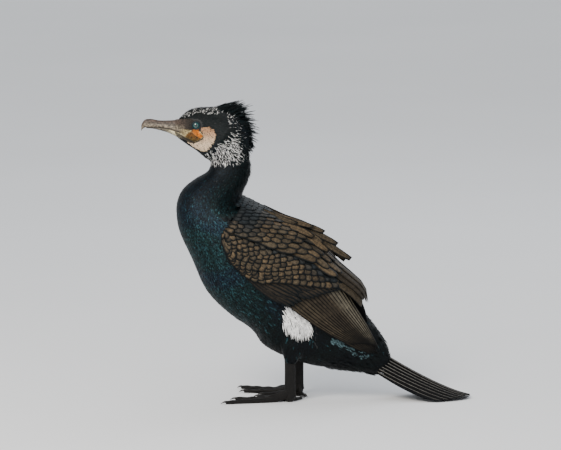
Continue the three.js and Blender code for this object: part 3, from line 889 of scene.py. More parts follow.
def grid_faces(rows: int, columns: int) -> Points:
    """Quads of one sheet of points with rows and columns."""
    start = (np.arange(rows - 1)[:, None] * columns + np.arange(columns - 1)).ravel()
    return np.stack([start, start + 1, start + columns + 1, start + columns], 1)


def solid_faces(rows: int, columns: int) -> Points:
    """Quads of two sheets of points joined round their rim.

    Args:
        rows: Rows of points.
        columns: Columns of points.

    Returns:
        Vertex numbers, one quad a row.
    """
    under = rows * columns
    top = grid_faces(rows, columns)
    rim = [*range(columns), *range(2 * columns - 1, under, columns)]
    rim += [*range(under - 2, under - columns - 1, -1), *range(under - 2 * columns, 0, -columns)]
    around = np.array([(b, a, a + under, b + under) for a, b in zip(rim, rim[1:] + rim[:1])])
    return np.concatenate([top, top[:, ::-1] + under, around])


@dataclass
class Vanes:
    """Many feathers of one shape, as arrays: each is a sheet of rows and columns of points."""

    points: Points
    # Half width of each row, places across from -1 to 1, and distance of each row from the root
    half: Points
    columns: Points
    run: Points
    # Linear RGB of each feather, and the direction outwards at each point or row
    tint: Points
    normal: Points
    # Corner of each feather's patch on the bake map, and its width
    patch: Points
    patch_size: float = TUFT_PATCH

    def __len__(self) -> int:
        """Number of feathers."""
        return len(self.points)

    def mesh(self, name: str, thick: float = 0.0) -> Mesh:
        """Join the feathers in one mesh with its bake map and attributes.

        Args:
            name: Name of the mesh.
            thick: Thickness in millimetres, or 0 for single sheets.

        Returns:
            The mesh, in the frame.
        """
        count, rows, columns = self.points.shape[:3]
        layers = 2 if thick else 1
        size = rows * columns
        sheets = [self.points.reshape(count, size, 3)]
        if thick:
            normal = np.broadcast_to(self.normal, self.points.shape)
            sheets.append(sheets[0] - thick * normal.reshape(count, size, 3))
        points = np.concatenate(sheets, 1)
        faces = solid_faces(rows, columns) if thick else grid_faces(rows, columns)
        quads = (faces[None] + (np.arange(count) * size * layers)[:, None, None]).reshape(-1, 4)
        mesh = bpy.data.meshes.new(name)
        mesh.vertices.add(count * size * layers)
        mesh.vertices.foreach_set("co", ((points.reshape(-1, 3) + SHIFT) * MM).astype(np.float32).ravel())
        mesh.loops.add(quads.size)
        mesh.loops.foreach_set("vertex_index", quads.astype(np.int32).ravel())
        mesh.polygons.add(len(quads))
        mesh.polygons.foreach_set("loop_start", np.arange(0, quads.size, 4, dtype=np.int32))
        mesh.update(calc_edges=True)
        rim = np.minimum(self.half * (1 - np.abs(self.columns)), self.run[:, -1:] - self.run)
        vane = np.stack(np.broadcast_arrays(self.half * self.columns, self.run, rim), -1)
        tint = np.broadcast_to(self.tint[:, None, None], self.points.shape)
        for attribute, values in (("vane", vane), ("tint", tint)):
            values = np.tile(values.reshape(count, size, 3), (1, layers, 1))
            store_vectors(mesh, attribute, values.reshape(-1, 3))
        step = np.stack(np.meshgrid(np.linspace(0, 1, columns), np.linspace(0, 1, rows)), -1)
        local = np.tile(step.reshape(1, -1, 2), (1, layers, 1)) * self.patch_size
        places = (self.patch[:, None] + local).reshape(-1, 2)
        layer = mesh.uv_layers.new(name="OFBake")
        layer.data.foreach_set("uv", places[quads.ravel()].astype(np.float32).ravel())
        return mesh


@dataclass
class Skin:
    """Skin of head, neck, trunk and thighs in one, under the coat."""

    voxel_mm: float = 2.2
    smoothing: int = 6
    # Half width of the stretch of centreline that a point's place is averaged over
    blend_mm: float = 9.0
    # Length of the centreline on the unwrap, and the unwrap's margin
    map_mm: float = 760.0
    margin: float = 0.01
    # Distance along the centreline, and the coat's depth there
    depths: Rows = ((0, 0.9), (80, 1.2), (150, 2.0), (250, 3.0), (420, 3.6), (700, 3.0))

    def __post_init__(self) -> None:
        """Fuse the forms and sink them by the coat's depth."""
        rings = [loft(FORM.body_rings()), loft(FORM.head_rings())]
        for side in Side:
            z, shift, long, wide = np.array(FORM.thigh).T
            path = np.stack([FORM.leg_x[side] + shift, 0 * z + side.value * FORM.stance, z], 1)
            rings.append(loft(tube(path, np.stack([wide, long], 1), 32, (1, 0, 0))))
        self.mesh = remeshed(joined(rings), self.voxel_mm, self.smoothing)
        self.mesh.name = "skin"
        self.line = FORM.centreline()
        self.points = read_vectors(self.mesh, "co") / MM - SHIFT
        self.normals = read_vectors(self.mesh, "normal")
        self.sink()
        faces = [tuple(p.vertices) for p in self.mesh.polygons]
        self.tree = BVHTree.FromPolygons(self.points.tolist(), faces)

    def sink(self) -> None:
        """Push the surface in by the coat's depth, which grows from head to belly."""
        depth = table_values(self.depths, self.place(self.points)[0])[:, 0]
        self.points = self.points - self.normals * depth[:, None]
        self.mesh.vertices.foreach_set("co", ((self.points + SHIFT) * MM).ravel())
        self.mesh.update()

    def place(self, points: Points) -> tuple[Points, Points, Points]:
        """Place of points along the bird.

        Args:
            points: Points near the surface.

        Returns:
            Distance along the centreline, height over it towards the back, and the
            centreline's smoothed direction.
        """
        steps = np.linalg.norm(np.diff(self.line, axis=0), axis=1)
        run = np.concatenate([[0], np.cumsum(steps)])
        tangent = unit(np.gradient(self.line, axis=0))
        over = np.cross(tangent, (0, 1, 0))
        results = [[], [], []]
        for some in np.array_split(points, len(points) // 4000 + 1):
            gap = some[:, None, [0, 2]] - self.line[None, :, [0, 2]]
            far = np.linalg.norm(gap, axis=2)
            weight = np.exp(-((far - far.min(1, keepdims=True)) / self.blend_mm) ** 2)
            weight /= weight.sum(1, keepdims=True)
            results[0].append(weight @ run)
            results[2].append(unit(weight @ tangent))
            height = gap[..., 0] * over[None, :, 0] + gap[..., 1] * over[None, :, 2]
            results[1].append((height * weight).sum(1))
        return tuple(np.concatenate(r) for r in results)

    def nearest(self, points: Points) -> tuple[Points, Points]:
        """Nearest points of the skin and their normals."""
        found = [self.tree.find_nearest(Vector(p)) for p in points]
        return np.array([f[0] for f in found]), np.array([f[1] for f in found])

    def scatter(self, spacing: float, keep: Points, random: Random) -> tuple[Points, Points]:
        """Draw evenly spread places on some of the skin.

        Args:
            spacing: Distance between neighbours in millimetres.
            keep: True for each vertex that may carry a feather.
            random: Source of the draw.

        Returns:
            Points and normals.
        """
        self.mesh.calc_loop_triangles()
        corners = np.empty(len(self.mesh.loop_triangles) * 3, np.int32)
        self.mesh.loop_triangles.foreach_get("vertices", corners)
        corners = corners.reshape(-1, 3)
        corners = corners[keep[corners].all(1)]
        a, b, c = (self.points[corners[:, i]] for i in range(3))
        area = np.linalg.norm(np.cross(b - a, c - a), axis=1) / 2
        count = int(area.sum() / spacing ** 2 * 4)
        pick = random.choice(len(corners), count, p=area / area.sum())
        u, v = random.random(count), random.random(count)
        flip = u + v > 1
        u[flip], v[flip] = 1 - u[flip], 1 - v[flip]
        shares = np.stack([1 - u - v, u, v], 1)[..., None]
        points = (self.points[corners[pick]] * shares).sum(1)
        normals = unit((self.normals[corners[pick]] * shares).sum(1))
        _, first = np.unique(np.floor(points / spacing).astype(int), axis=0, return_index=True)
        return points[first], normals[first]

    def unwrap(self, points: Points) -> Points:
        """Place of points on an unwrap of the skin: round the bird and along it.

        Args:
            points: Points near the surface.

        Returns:
            Places on the bake map.
        """
        along, height, _ = self.place(points)
        around = np.arctan2(points[:, 1], height) / (2 * np.pi) + 0.5
        share = np.stack([around, ramp(along, 0, self.map_mm)], 1)
        return self.margin + (1 - 2 * self.margin) * share


@dataclass(frozen=True)
class Markings:
    """Where each colour lies on the coat, in millimetres on the bird's side."""

    cheek: Rows = (
        (-153.1, 453.4), (-143.1, 454.5), (-133, 450), (-129.2, 442.7), (-131.2, 434.2), (-136.3, 425.7),
        (-143.9, 416.5), (-151.5, 416), (-161.5, 419.5), (-168, 423.5), (-177, 431.5), (-165, 427.4),
        (-157.2, 431.5), (-148.8, 437.5), (-151.5, 442.7), (-154.8, 449.6),
    )
    # Roots of the white plumes
    thigh: Rows = (
        (-19.8, 167), (-9.9, 170), (5, 162), (18.2, 152), (26.4, 140), (24.8, 127), (11.6, 125.3),
        (-5, 130.3), (-14.9, 137), (-19.8, 150.3),
    )
    neck: Rows = (
        (-132, 413), (-117.2, 428), (-100.7, 439.5), (-95, 459.1), (-88.5, 465.8), (-87, 445.8),
        (-75.9, 434.1), (-72.6, 417.4), (-75.9, 407.4), (-90.8, 404.1), (-107.3, 401.5), (-123.8, 398),
        (-133.7, 400), (-138.6, 407.4),
    )
    crown: Rows = (
        (-191, 468.8), (-180, 480.8), (-166.7, 492), (-148.5, 494), (-130.4, 492), (-113.9, 487),
        (-117.2, 477.5), (-133.7, 473.4), (-153.5, 476.8), (-170, 472.4), (-179.9, 468.3),
    )
    nape: Rows = (
        (-110.6, 477.2), (-96, 478), (-82, 462), (-75, 438), (-82.5, 420.5), (-94, 436), (-107.3, 460.5),
    )
    flank: Rows = ((56, 107), (70, 111), (119, 82), (110, 71.5), (83, 85.5))

    def colour(self, points: Points, along: Points, height: Points, random: Random) -> Points:
        """Colour of the coat at points.

        Args:
            points: Roots of the feathers.
            along: Their distances along the centreline.
            height: Their heights over the centreline.
            random: Source of the draw.

        Returns:
            Linear RGB of each.
        """
        flat = points[:, [0, 2]]
        chance = random.random(len(points))
        drift = 0.5 + 0.5 * np.sin(points[:, 0] / 17 + 2 * np.sin(points[:, 2] / 23)
                                   + points[:, 1] / 13)
        # Painted sheen: blue-green gloss mixed into the black, strongest on the breast and weak on head and
        # belly; partly the thin film's own colour
        gloss = mix(rgb(Tint.TEAL), rgb(Tint.BLUE), (0.7 * drift)[:, None])
        gloss = mix(gloss, rgb(Tint.GREEN), (0.6 * chance * (drift < 0.5))[:, None])
        amount = np.interp(along, (0, 60, 130, 190, 240, 330, 390, 440, 600),
                           (0.15, 0.25, 0.35, 0.75, 1.0, 0.85, 0.4, 0.12, 0.1))
        share = (0.35 + 0.65 * random.random(len(points))) * amount
        colour = mix(rgb(Tint.BLACK), gloss, share[:, None])
        # Painted glints: a few feathers lightened towards a pale teal highlight
        glint = random.random(len(points)) < 0.25 * amount * ramp(along, 150, 70)
        colour[glint] = mix(colour[glint], rgb(Tint.GLINT), 0.35)
        back = (height > 22) & (along > 215) & (along < 440)
        colour[back] = mix(rgb(Tint.BLACK), rgb(Tint.SLATE), 0.5 * chance[back, None])
        cheek = inside(self.cheek, flat) & (along < 95)
        warm = ramp(flat[cheek][:, 1], 428, 20)
        colour[cheek] = mix(rgb(Tint.CREAM), rgb(Tint.PINK_CREAM), (0.15 + 0.75 * warm)[:, None])
        colour[cheek] *= (0.86 + 0.2 * chance[cheek])[:, None]
        return colour


MARKINGS = Markings()


class Outline(Enum):
    """Shape of a tuft: shares of its length, and of its width there."""

    VANE = ((0, 0.5), (0.35, 0.95), (0.7, 1.0), (0.9, 0.66), (1, 0.16))
    LOOSE = ((0, 0.6), (0.4, 1.0), (0.75, 0.75), (1, 0.1))
    HAIR = ((0, 1.0), (0.55, 0.8), (1, 0.08))


@dataclass(frozen=True)
class Plot:
    """One stretch of the coat with feathers of a kind."""

    name: str
    spacing: float
    length: float
    width: float
    lift: float
    outline: Outline
    columns: int = 3
    stray: float = 9.0
    seed: int = 1


@dataclass
class Coat:
    """Body feathers over the skin, plot by plot, from bill to tail."""

    skin: Skin
    # Distance inside a folded wing's edges where the coat ends
    wing_overlap: float = 6.0
    plots: tuple[Plot, ...] = (
        Plot("coat_face", 1.3, 4.6, 1.3, 0.5, Outline.HAIR, 2, 12, 11),
        Plot("coat_nape", 1.6, 8.5, 1.8, 1.0, Outline.LOOSE, 2, 12, 12),
        Plot("coat_neck", 1.9, 8.0, 2.0, 0.7, Outline.LOOSE, 2, 10, 13),
        Plot("coat_breast", 2.4, 10.5, 3.0, 0.8, Outline.LOOSE, 3, 10, 14),
        Plot("coat_belly", 3.0, 18.0, 4.4, 1.3, Outline.LOOSE, 3, 11, 15),
        Plot("coat_mantle", 5.0, 18.0, 9.0, 1.0, Outline.VANE, 3, 6, 16),
        Plot("coat_rump", 3.4, 22.0, 4.4, 3.4, Outline.LOOSE, 3, 16, 17),
        Plot("coat_flank", 2.0, 11.0, 3.8, 2.8, Outline.VANE, 3, 8, 18),
    )

    def __post_init__(self) -> None:
        """Read the skin's places once."""
        self.along, self.height, _ = self.skin.place(self.skin.points)

    def region(self, name: str) -> Points:
        """Vertices of the skin that a plot covers.

        Args:
            name: Name of the plot.

        Returns:
            True for each vertex that it covers.
        """
        points, along, height = self.skin.points, self.along, self.height
        hidden = FORM.under_wing(points, self.wing_overlap)
        flat = points[:, [0, 2]]
        eye = FORM.eye_distance(flat) < FORM.eye[3] + 0.6
        bare = inside(Face.outline, flat) & ~inside(MARKINGS.cheek, flat)
        front = points[:, 0] < -191
        back = height > 18
        thigh = (np.abs(points[:, 1]) > 20) & (points[:, 2] < 128) & (np.abs(points[:, 0]) < 36)
        masks = {
            "coat_face": (along < 78) & ~eye & ~bare & ~front,
            "coat_nape": (along >= 74) & (along < 132),
            "coat_neck": (along >= 128) & (along < 222),
            "coat_breast": (along >= 218) & (along < 352) & ~back | (along > 195) & (along < 240) & ~back,
            "coat_belly": (along >= 348) & ~back & ((along < 520) | thigh),
            "coat_mantle": (along >= 205) & (along < 440) & back,
            "coat_rump": (along >= 436) & back | (along >= 515),
            "coat_flank": (edge_distance(MARKINGS.flank, flat) < 0) & (np.abs(points[:, 1]) > 25),
        }
        return masks[name] & (~hidden | (name == "coat_flank"))

    def grow(self, plot: Plot) -> Vanes:
        """Grow the feathers of one plot.

        Args:
            plot: The plot.

        Returns:
            Its feathers.
        """
        random = np.random.default_rng(plot.seed)
        roots, normals = self.skin.scatter(plot.spacing, self.region(plot.name), random)
        along, height, flow = self.skin.place(roots)
        flow = self.lie(roots, flow)
        count = len(roots)
        length = plot.length * random.uniform(0.8, 1.2, count)
        width = plot.width * random.uniform(0.85, 1.15, count)
        lift = plot.lift * random.uniform(0.5, 1.6, count)
        lift = lift * (1 + 2.8 * ramp(height, 13, 8) * (along < 215) * random.random(count))
        tint = MARKINGS.colour(roots, along, height, random)
        if plot.name == "coat_flank":
            tint = mix(rgb(Tint.FLANK), rgb(Tint.SLATE), 0.5 * random.random((count, 1)))
        return tufts(self.skin, roots, normals, flow, length, width, lift, tint, plot, random)

    @staticmethod
    def lie(roots: Points, flow: Points) -> Points:
        """Bend the lie of the coat where it leaves the line of the body.

        Args:
            roots: Roots of the feathers.
            flow: Direction along the body there.

        Returns:
            New directions.
        """
        x, z = roots[:, 0], roots[:, 2]
        thigh = (np.abs(roots[:, 1]) > 22) & (np.abs(x) < 34)
        share = ramp(z, 165, -30) * thigh
        result = unit(mix(flow, np.array([0.12, 0, -1.0]), share[:, None]))
        # On head and neck the lie turns from up and back on the crown to down on the neck
        lean = np.interp(z, (380, 395, 405, 420, 440, 455, 468, 480), (-95, -76, -60, -46, -26, -4, 28, 48))
        lean = np.radians(lean + 12 * ramp(x, -100, 20))
        turned = np.stack([np.cos(lean), 0 * lean, np.sin(lean)], 1)
        share = ramp(z, 380, 14) * (x < -60)
        return unit(mix(result, turned, share[:, None]))

    def build(self, materials: Materials) -> None:
        """Make every plot as a piece of its own.

        Args:
            materials: The finishes.
        """
        for plot in self.plots:
            finish = {"coat_mantle": "scaly", "coat_face": "short"}.get(plot.name, "plumage")
            add_piece(self.grow(plot).mesh(plot.name), materials[finish], "plumage")


def tufts(skin: Skin, roots: Points, normals: Points, flow: Points, length: Points, width: Points,
          lift: Points, tint: Points, plot: Plot, random: Random) -> Vanes:
    """Lay feathers on the skin, each bent to follow it.

    Args:
        skin: Skin that they grow on.
        roots: Their roots.
        normals: The skin's normals at the roots.
        flow: The lie of the coat there.
        length: Length of each.
        width: Width of each.
        lift: Height of each tip over the skin.
        tint: Colour of each.
        plot: Shape of the feathers.
        random: Source of the stray.

    Returns:
        The feathers.
    """
    count = len(roots)
    flow = unit(flow - (flow * normals).sum(1, keepdims=True) * normals)
    turn = np.radians(random.normal(0, plot.stray, count))[:, None]
    flow = flow * np.cos(turn) + np.cross(normals, flow) * np.sin(turn)
    middle, middle_normal = skin.nearest(roots + flow * (length / 2)[:, None])
    tip, tip_normal = skin.nearest(roots + flow * length[:, None])
    stops = [roots - 0.5 * normals, middle + (0.35 + 0.55 * lift)[:, None] * middle_normal,
             tip + (0.2 + lift)[:, None] * tip_normal]
    profile = np.array(plot.outline.value)
    t = profile[:, 0][None, :, None]
    shares = ((1 - t) * (1 - 2 * t), 4 * t * (1 - t), t * (2 * t - 1))
    spine = sum(stop[:, None] * share for stop, share in zip(stops, shares))
    normal = unit(normals[:, None] * shares[0] + middle_normal[:, None] * shares[1]
                  + tip_normal[:, None] * shares[2])
    ahead = unit(np.gradient(spine, axis=1))
    across = unit(np.cross(normal, ahead))
    columns = np.linspace(-1, 1, plot.columns)
    half = (width[:, None] / 2 * profile[:, 1])[..., None]
    points = (spine[:, :, None] + across[:, :, None] * (half * columns)[..., None]
              - normal[:, :, None] * (TUFT_ARCH * half * columns ** 2)[..., None])
    run = (length[:, None] * profile[:, 0])[..., None]
    patch = skin.unwrap(roots) - TUFT_PATCH / 2
    return Vanes(points, half, columns, run, tint, normal[:, :, None], patch)


@dataclass
class Plumes:
    """White plumes of breeding dress: fine ones on crown and neck, long ones on the thigh."""

    skin: Skin
    on_head: Plot = Plot("plumes_head", 1.75, 6.5, 0.72, 1.5, Outline.HAIR, 2, 6, 31)
    on_thigh: Plot = Plot("plumes_thigh", 1.9, 21, 1.5, 2.4, Outline.LOOSE, 2, 7, 32)
    # Height of the crown, where they are shorter, and their length there
    crown_level: float = 462.0
    crown_length: float = 0.62

    def build(self, materials: Materials) -> None:
        """Make the head's plumes and the thigh patches.

        Args:
            materials: The finishes.
        """
        for plot, keep in ((self.on_head, self.head), (self.on_thigh, self.thigh)):
            random = np.random.default_rng(plot.seed)
            roots, normals = self.skin.scatter(plot.spacing, keep(self.skin.points) > 0.02, random)
            chosen = random.random(len(roots)) < keep(roots)
            roots, normals = roots[chosen], normals[chosen]
            flow = Coat.lie(roots, self.skin.place(roots)[2])
            count = len(roots)
            tint = rgb(Tint.WHITE) * random.uniform(0.8, 1.0, (count, 1))
            length = plot.length * random.uniform(0.6, 1.3, count)
            length = length * np.where(roots[:, 2] > self.crown_level, self.crown_length, 1.0)
            vanes = tufts(self.skin, roots, normals, flow, length,
                          plot.width * random.uniform(0.7, 1.2, count),
                          plot.lift * random.uniform(0.7, 1.5, count), tint, plot, random)
            add_piece(vanes.mesh(plot.name), materials["plume"], "plumage")

    @staticmethod
    def head(points: Points) -> Points:
        """Share of places with a plume on crown and neck.

        Args:
            points: Points of the skin.

        Returns:
            Share at each.
        """
        flat = points[:, [0, 2]]
        neck = 0.75 * np.clip(0.8 - edge_distance(MARKINGS.neck, flat) / 11, 0, 1)
        ridge = 0.2 + 0.8 * np.clip(np.abs(points[:, 1]) / 12, 0, 1)
        crown = 0.46 * ridge * np.clip(0.8 - edge_distance(MARKINGS.crown, flat) / 3, 0, 1)
        nape = 0.3 * np.clip(0.6 - edge_distance(MARKINGS.nape, flat) / 6, 0, 1)
        share = np.maximum.reduce([neck, crown, nape])
        return share * (edge_distance(MARKINGS.cheek, flat) > 4)

    @staticmethod
    def thigh(points: Points) -> Points:
        """Share of places with a plume on the thigh patch."""
        gap = edge_distance(MARKINGS.thigh, points[:, [0, 2]])
        return np.clip(0.6 - gap / 4, 0, 1) * (np.abs(points[:, 1]) > 40)


@dataclass
class Crest:
    """Shaggy black crest from the rear crown down the nape."""

    # Roots' x and z, tips' x and z, half spread
    rows: Rows = (
        (-128, 480, -113, 489, 8), (-121, 479, -101, 492, 10), (-114, 478, -90, 494.5, 11),
        (-107, 477, -80, 494, 12), (-100, 474, -70, 488, 12.5), (-95, 468, -63, 476, 12.5),
        (-91, 460, -58, 462, 12), (-88, 450, -56, 447, 11), (-85, 440, -57, 432, 9.5),
        (-82, 432, -60, 421, 8), (-80, 423, -65, 411, 6.5), (-79, 414, -69.5, 401, 5.5),
    )
    clumps: int = 210
    locks: int = 6
    lock_mm: float = 20.0
    half_width: Pair = (0.4, 0.8)
    thick: float = 0.25
    # How deep the roots start under the skin
    rooted: float = 1.5
    profile: Profile = ((0, 1.0), (0.3, 0.95), (0.55, 0.7), (0.8, 0.36), (1, 0.05))
    seed: int = 41

    def build(self, skin: Skin, material: Material) -> None:
        """Make the locks as thin tapered sheets with thickness, gathered in pointed clumps.

        Args:
            skin: Skin that they grow on.
            material: Their material.
        """
        random = np.random.default_rng(self.seed)
        rows = [(i, *row) for i, row in enumerate(self.rows)]
        count = self.clumps * self.locks
        clump = np.repeat(np.arange(self.clumps), self.locks)
        order = (np.arange(self.clumps) + random.random(self.clumps)) / self.clumps
        value = table_values(rows, order * (len(rows) - 1))
        y = random.uniform(-1, 1, self.clumps)
        inward = 4 * np.abs(y) ** 2
        root = np.stack([value[:, 0] - inward, 0.85 * y * value[:, 4], value[:, 1] - 0.5 * inward], 1)
        tip = np.stack([value[:, 2] - 2 * inward, 1.25 * y * value[:, 4], value[:, 3] - inward], 1)
        reach = 0.55 + 0.65 * random.random(self.clumps)[:, None] ** 1.2
        tip = root + (tip - root) * reach + random.normal(0, 1.2, (self.clumps, 3))
        root = root[clump] + random.normal(0, 1.5, (count, 3)) - 5 * random.random((count, 1)) * (1, 0, 0.2)
        tip = tip[clump] + random.normal(0, 0.4, (count, 3))
        root, normal = skin.nearest(root)
        tip = root + (tip - root) * random.uniform(0.75, 1.0, count)[:, None]
        bow = (root + tip) / 2 + normal * random.uniform(0.5, 2.5, count)[:, None]
        profile = np.array(self.profile)
        t = profile[:, 0][None, :, None]
        start = (root - self.rooted * normal)[:, None]
        spine = start * (1 - t) ** 2 + 2 * bow[:, None] * t * (1 - t) + tip[:, None] * t * t
        ahead = unit(np.gradient(spine, axis=1))
        face = unit(normal[:, None] + random.normal(0, 0.35, (count, 1, 3)))
        across = unit(np.cross(ahead, face))
        half = (random.uniform(*self.half_width, count)[:, None] * profile[:, 1])[..., None]
        columns = np.linspace(-1, 1, 3)
        points = spine[:, :, None] + across[:, :, None] * (half * columns)[..., None]
        over = unit(np.cross(across, ahead))[:, :, None]
        tint = mix(rgb(Tint.BLACK), rgb(Tint.TEAL), random.uniform(0, 0.4, (count, 1)))
        patch = skin.unwrap(root) - TUFT_PATCH / 2
        vanes = Vanes(points, half, columns, self.lock_mm * t, tint, over, patch)
        add_piece(vanes.mesh("crest", self.thick), material, "plumage")


@dataclass(frozen=True)
class Tier:
    """Rows of wing feathers of one kind, from the front to the rear of the wing."""

    name: str
    # Tips of each row at its low and its high end, as distances along the trunk line
    low_tips: tuple[float, ...]
    high_tips: tuple[float, ...]
    # Values of the first and the last row
    length: Pair
    spacing: Pair
    level: Pair
    sunk: float
    slant: float = 1.0
    low_length: float = 1.0
    scapular: bool = False


@dataclass
class Wing:
    """Folded wing: scapulars and coverts in scaly rows over the long flight feathers."""

    side: Side
    tiers: tuple[Tier, ...] = (
        Tier("coverts", (24, 24, 25, 26, 27, 28, 30, 33, 37, 42, 48, 56, 66),
             (38, 53, 69, 85, 101, 118, 135, 152, 170, 189, 208, 228, 250), (22, 36), (8.6, 11.4),
             (0.1, 0.9), -3.0, 0.66),
        Tier("greater_coverts", (166, 180), (222, 244), (58, 64), (6.4, 6.8), (-1.0, -0.6), -5.0, 1.0,
             1.75),
        Tier("scapulars", (33, 44, 55, 66, 78, 90, 103, 117, 132, 150, 170, 191, 213),
             (27, 39, 51, 63, 76, 90, 105, 121, 138, 156, 175, 196, 218), (22, 54), (8.0, 13.0), (1.6, 3.0),
             -1.5, 1.0, 1.0, True),
    )
    # Long feathers: name, count, shares of the way from the lower to the rear edge, roots, tips,
    # levels, width in millimetres
    flight: tuple[tuple, ...] = (
        ("primaries", 10, (0.05, 0.9), (215, 190), (349, 338), (-8.6, -5.4), 11),
        ("secondaries", 17, (0.07, 0.985), (140, 165), (306, 346), (-5.4, -1.4), 10.5),
    )
    # Tertials: tip, turns at root and tip, width, level; their root, and their rise along the back
    tertials: Rows = (
        (276, 42, 36, 19, -2.2), (272, 34, 27, 17, -1.0), (279, 25, 17, 20, 0.0), (283, 13, 7, 21, 0.8),
    )
    tertial_root: float = 165.0
    tertial_rise: Rows = ((150, -3), (190, 0), (225, 2.6), (247, 5.6), (267, 6.4), (283, -1))
    # Scapulars that stand clear of the back: root, tip, turn, width, rise
    loose: Rows = (
        (50, 108, 16, 9, 6), (62, 118, 9, 9, 9), (80, 132, 13, 9, 13.5), (84, 142, 24, 10, 9),
        (95, 152, 10, 9, 18.5), (100, 160, 21, 10, 11), (112, 181, 12, 9.5, 22), (118, 176, 24, 10, 10),
        (130, 213, 15, 10.5, 25), (128, 196, 8, 9.5, 16),
    )
    # How far they rise on the right side, which lies closer
    right_rise: float = 0.45
    # Shares of the length and of the width, for each kind
    outline: Profile = ((0, 0.55), (0.3, 0.9), (0.55, 1.0), (0.78, 0.98), (0.9, 0.8), (0.97, 0.5), (1, 0.2))
    quill: Profile = (
        (0, 0.6), (0.15, 0.85), (0.35, 1.0), (0.55, 1.0), (0.75, 0.97), (0.88, 0.8), (0.96, 0.5), (1, 0.16),
    )
    blunt: Profile = (
        (0, 0.6), (0.15, 0.85), (0.35, 1.0), (0.55, 1.0), (0.75, 1.0), (0.88, 0.94), (0.96, 0.7), (1, 0.35),
    )
    pointed: Profile = (
        (0, 0.5), (0.2, 0.85), (0.45, 1.0), (0.65, 0.9), (0.82, 0.66), (0.94, 0.34), (1, 0.1),
    )
    # Points across a feather, its arch, and how much one edge lies over the other
    columns: int = 5
    arch: float = 0.35
    scaly_tilt: float = 0.3
    flight_tilt: float = 0.2
    loose_tilt: float = -3.6
    # Thickness of scaly, long and loose feathers
    thick: float = 0.3
    long_thick: float = 0.4
    loose_thick: float = 0.35
    # Width of a scaly feather for each millimetre of spacing, and the least gap between rows
    overlap: float = 1.34
    least_gap: float = 4.5
    # Foremost roots, along the trunk line
    front: float = 20.0
    # Dark body under the feathers: its depth under the surface, from front to rear, and thickness
    body_depth: Rows = ((22, -3.4), (110, -3.8), (180, -6.5), (240, -9.4), (300, -10.5))
    body_thick: float = 8.0
    seed: int = 51

    def __post_init__(self) -> None:
        """Start the wing's own draw."""
        self.random = np.random.default_rng(self.seed)

    def vanes(self, along: Points, turn: Points, level: Points, width: Points, outline: Rows,
              tint: Points, cell: int, tilt: float = 0.0) -> Vanes:
        """Lay feathers on the wing's surface.

        Args:
            along: Distances along the trunk line, one row for each feather.
            turn: Degrees round, likewise.
            level: Heights over the surface, likewise.
            width: Width of each in millimetres.
            outline: Shares of length and width.
            tint: Colour of each.
            cell: First cell of the bake map.
            tilt: How much one edge lies over the other.

        Returns:
            The feathers.
        """
        profile = np.array(outline)
        step = np.linalg.norm(FORM.guide(along, turn + 0.5, self.side)
                              - FORM.guide(along, turn - 0.5, self.side), axis=-1)
        columns = np.linspace(-1, 1, self.columns)
        half = (width[:, None] / 2 * profile[:, 1])[..., None]
        bend = self.arch * (1 - columns ** 2) + tilt * columns
        turns = turn[..., None] + half * columns / np.maximum(step, 0.3)[..., None]
        points = FORM.guide(along[..., None], turns, self.side, level[..., None] + bend)
        raised = FORM.guide(along[..., None], turns, self.side, level[..., None] + bend + 1.0)
        length = np.linalg.norm(np.diff(points[:, :, self.columns // 2], axis=1), axis=2).sum(1)
        run = (length[:, None] * profile[:, 0])[..., None]
        number = cell + np.arange(len(points))
        patch = (np.stack([number % CELLS, number // CELLS], 1) + (1 - CELL_FILL) / 2) / CELLS
        return Vanes(points, half, columns, run, tint, unit(raised - points), patch, CELL_FILL / CELLS)

    def zone(self, tier: Tier, along: Points) -> tuple[Points, Points]:
        """Degrees round at the low and the high edge of a tier's zone.

        Args:
            tier: The tier.
            along: Distances along the trunk line.

        Returns:
            Degrees at the low and at the high edge.
        """
        edge = table_values(FORM.scapular_edge, along)[..., 0]
        if tier.scapular:
            return edge, table_values(FORM.wing_top, along)[..., 0]
        return FORM.lower_turn(along), edge - 3

    def tier_vanes(self, tier: Tier, cell: int) -> Vanes:
        """Lay the rows of one tier.

        Args:
            tier: The tier.
            cell: First cell of the bake map.

        Returns:
            Its feathers.
        """
        random = self.random
        profile = np.array(self.outline)[:, 0]
        found = []
        last = max(len(tier.low_tips) - 1, 1)
        for k, (low_tip, high_tip) in enumerate(zip(tier.low_tips, tier.high_tips)):
            share = k / last
            spacing, length = mix(*tier.spacing, share), mix(*tier.length, share)
            line = np.linspace(0, 1, 60)
            place = mix(low_tip, high_tip, line ** tier.slant)
            ends = FORM.guide(place, mix(*self.zone(tier, place), line), self.side)
            run = np.concatenate([[0], np.cumsum(np.linalg.norm(np.diff(ends, axis=0), axis=1))])
            count = max(int(run[-1] / spacing), 2)
            t = np.interp((np.arange(count) + 0.25 + 0.5 * (k % 2)) / count, run / run[-1], line)
            if k:
                gap = mix(low_tip - tier.low_tips[k - 1], high_tip - tier.high_tips[k - 1], t ** tier.slant)
                t = t[gap * (0.7 + 0.6 * random.random(count)) > self.least_gap]
                count = len(t)
            tip = mix(low_tip, high_tip, t ** tier.slant) + random.normal(0, 0.9, count)
            reach = length * random.uniform(0.92, 1.08, count) * mix(tier.low_length, 1.0, t)
            root = np.maximum(tip - reach, self.front - 3 * t)
            along = mix(root[:, None], tip[:, None], profile)
            low, high = self.zone(tier, along)
            turn = mix(low, high, t[:, None]) + random.normal(0, 0.5, (count, 1)) * profile
            top = mix(*tier.level, share) + random.normal(0, 0.18, count)
            if tier.scapular:
                top = top + 2.8 * ramp(t, 0.2, -0.2)
            level = mix(tier.sunk, top[:, None], profile)
            width = self.overlap * spacing * random.uniform(0.93, 1.07, count)
            found.append((along, turn, level, width, self.tier_tint(tier, tip, turn[:, -1], t)))
        along, turn, level, width, tint = (np.concatenate(v) for v in zip(*found))
        return self.vanes(along, turn, level, width, self.outline, tint, cell, self.scaly_tilt)

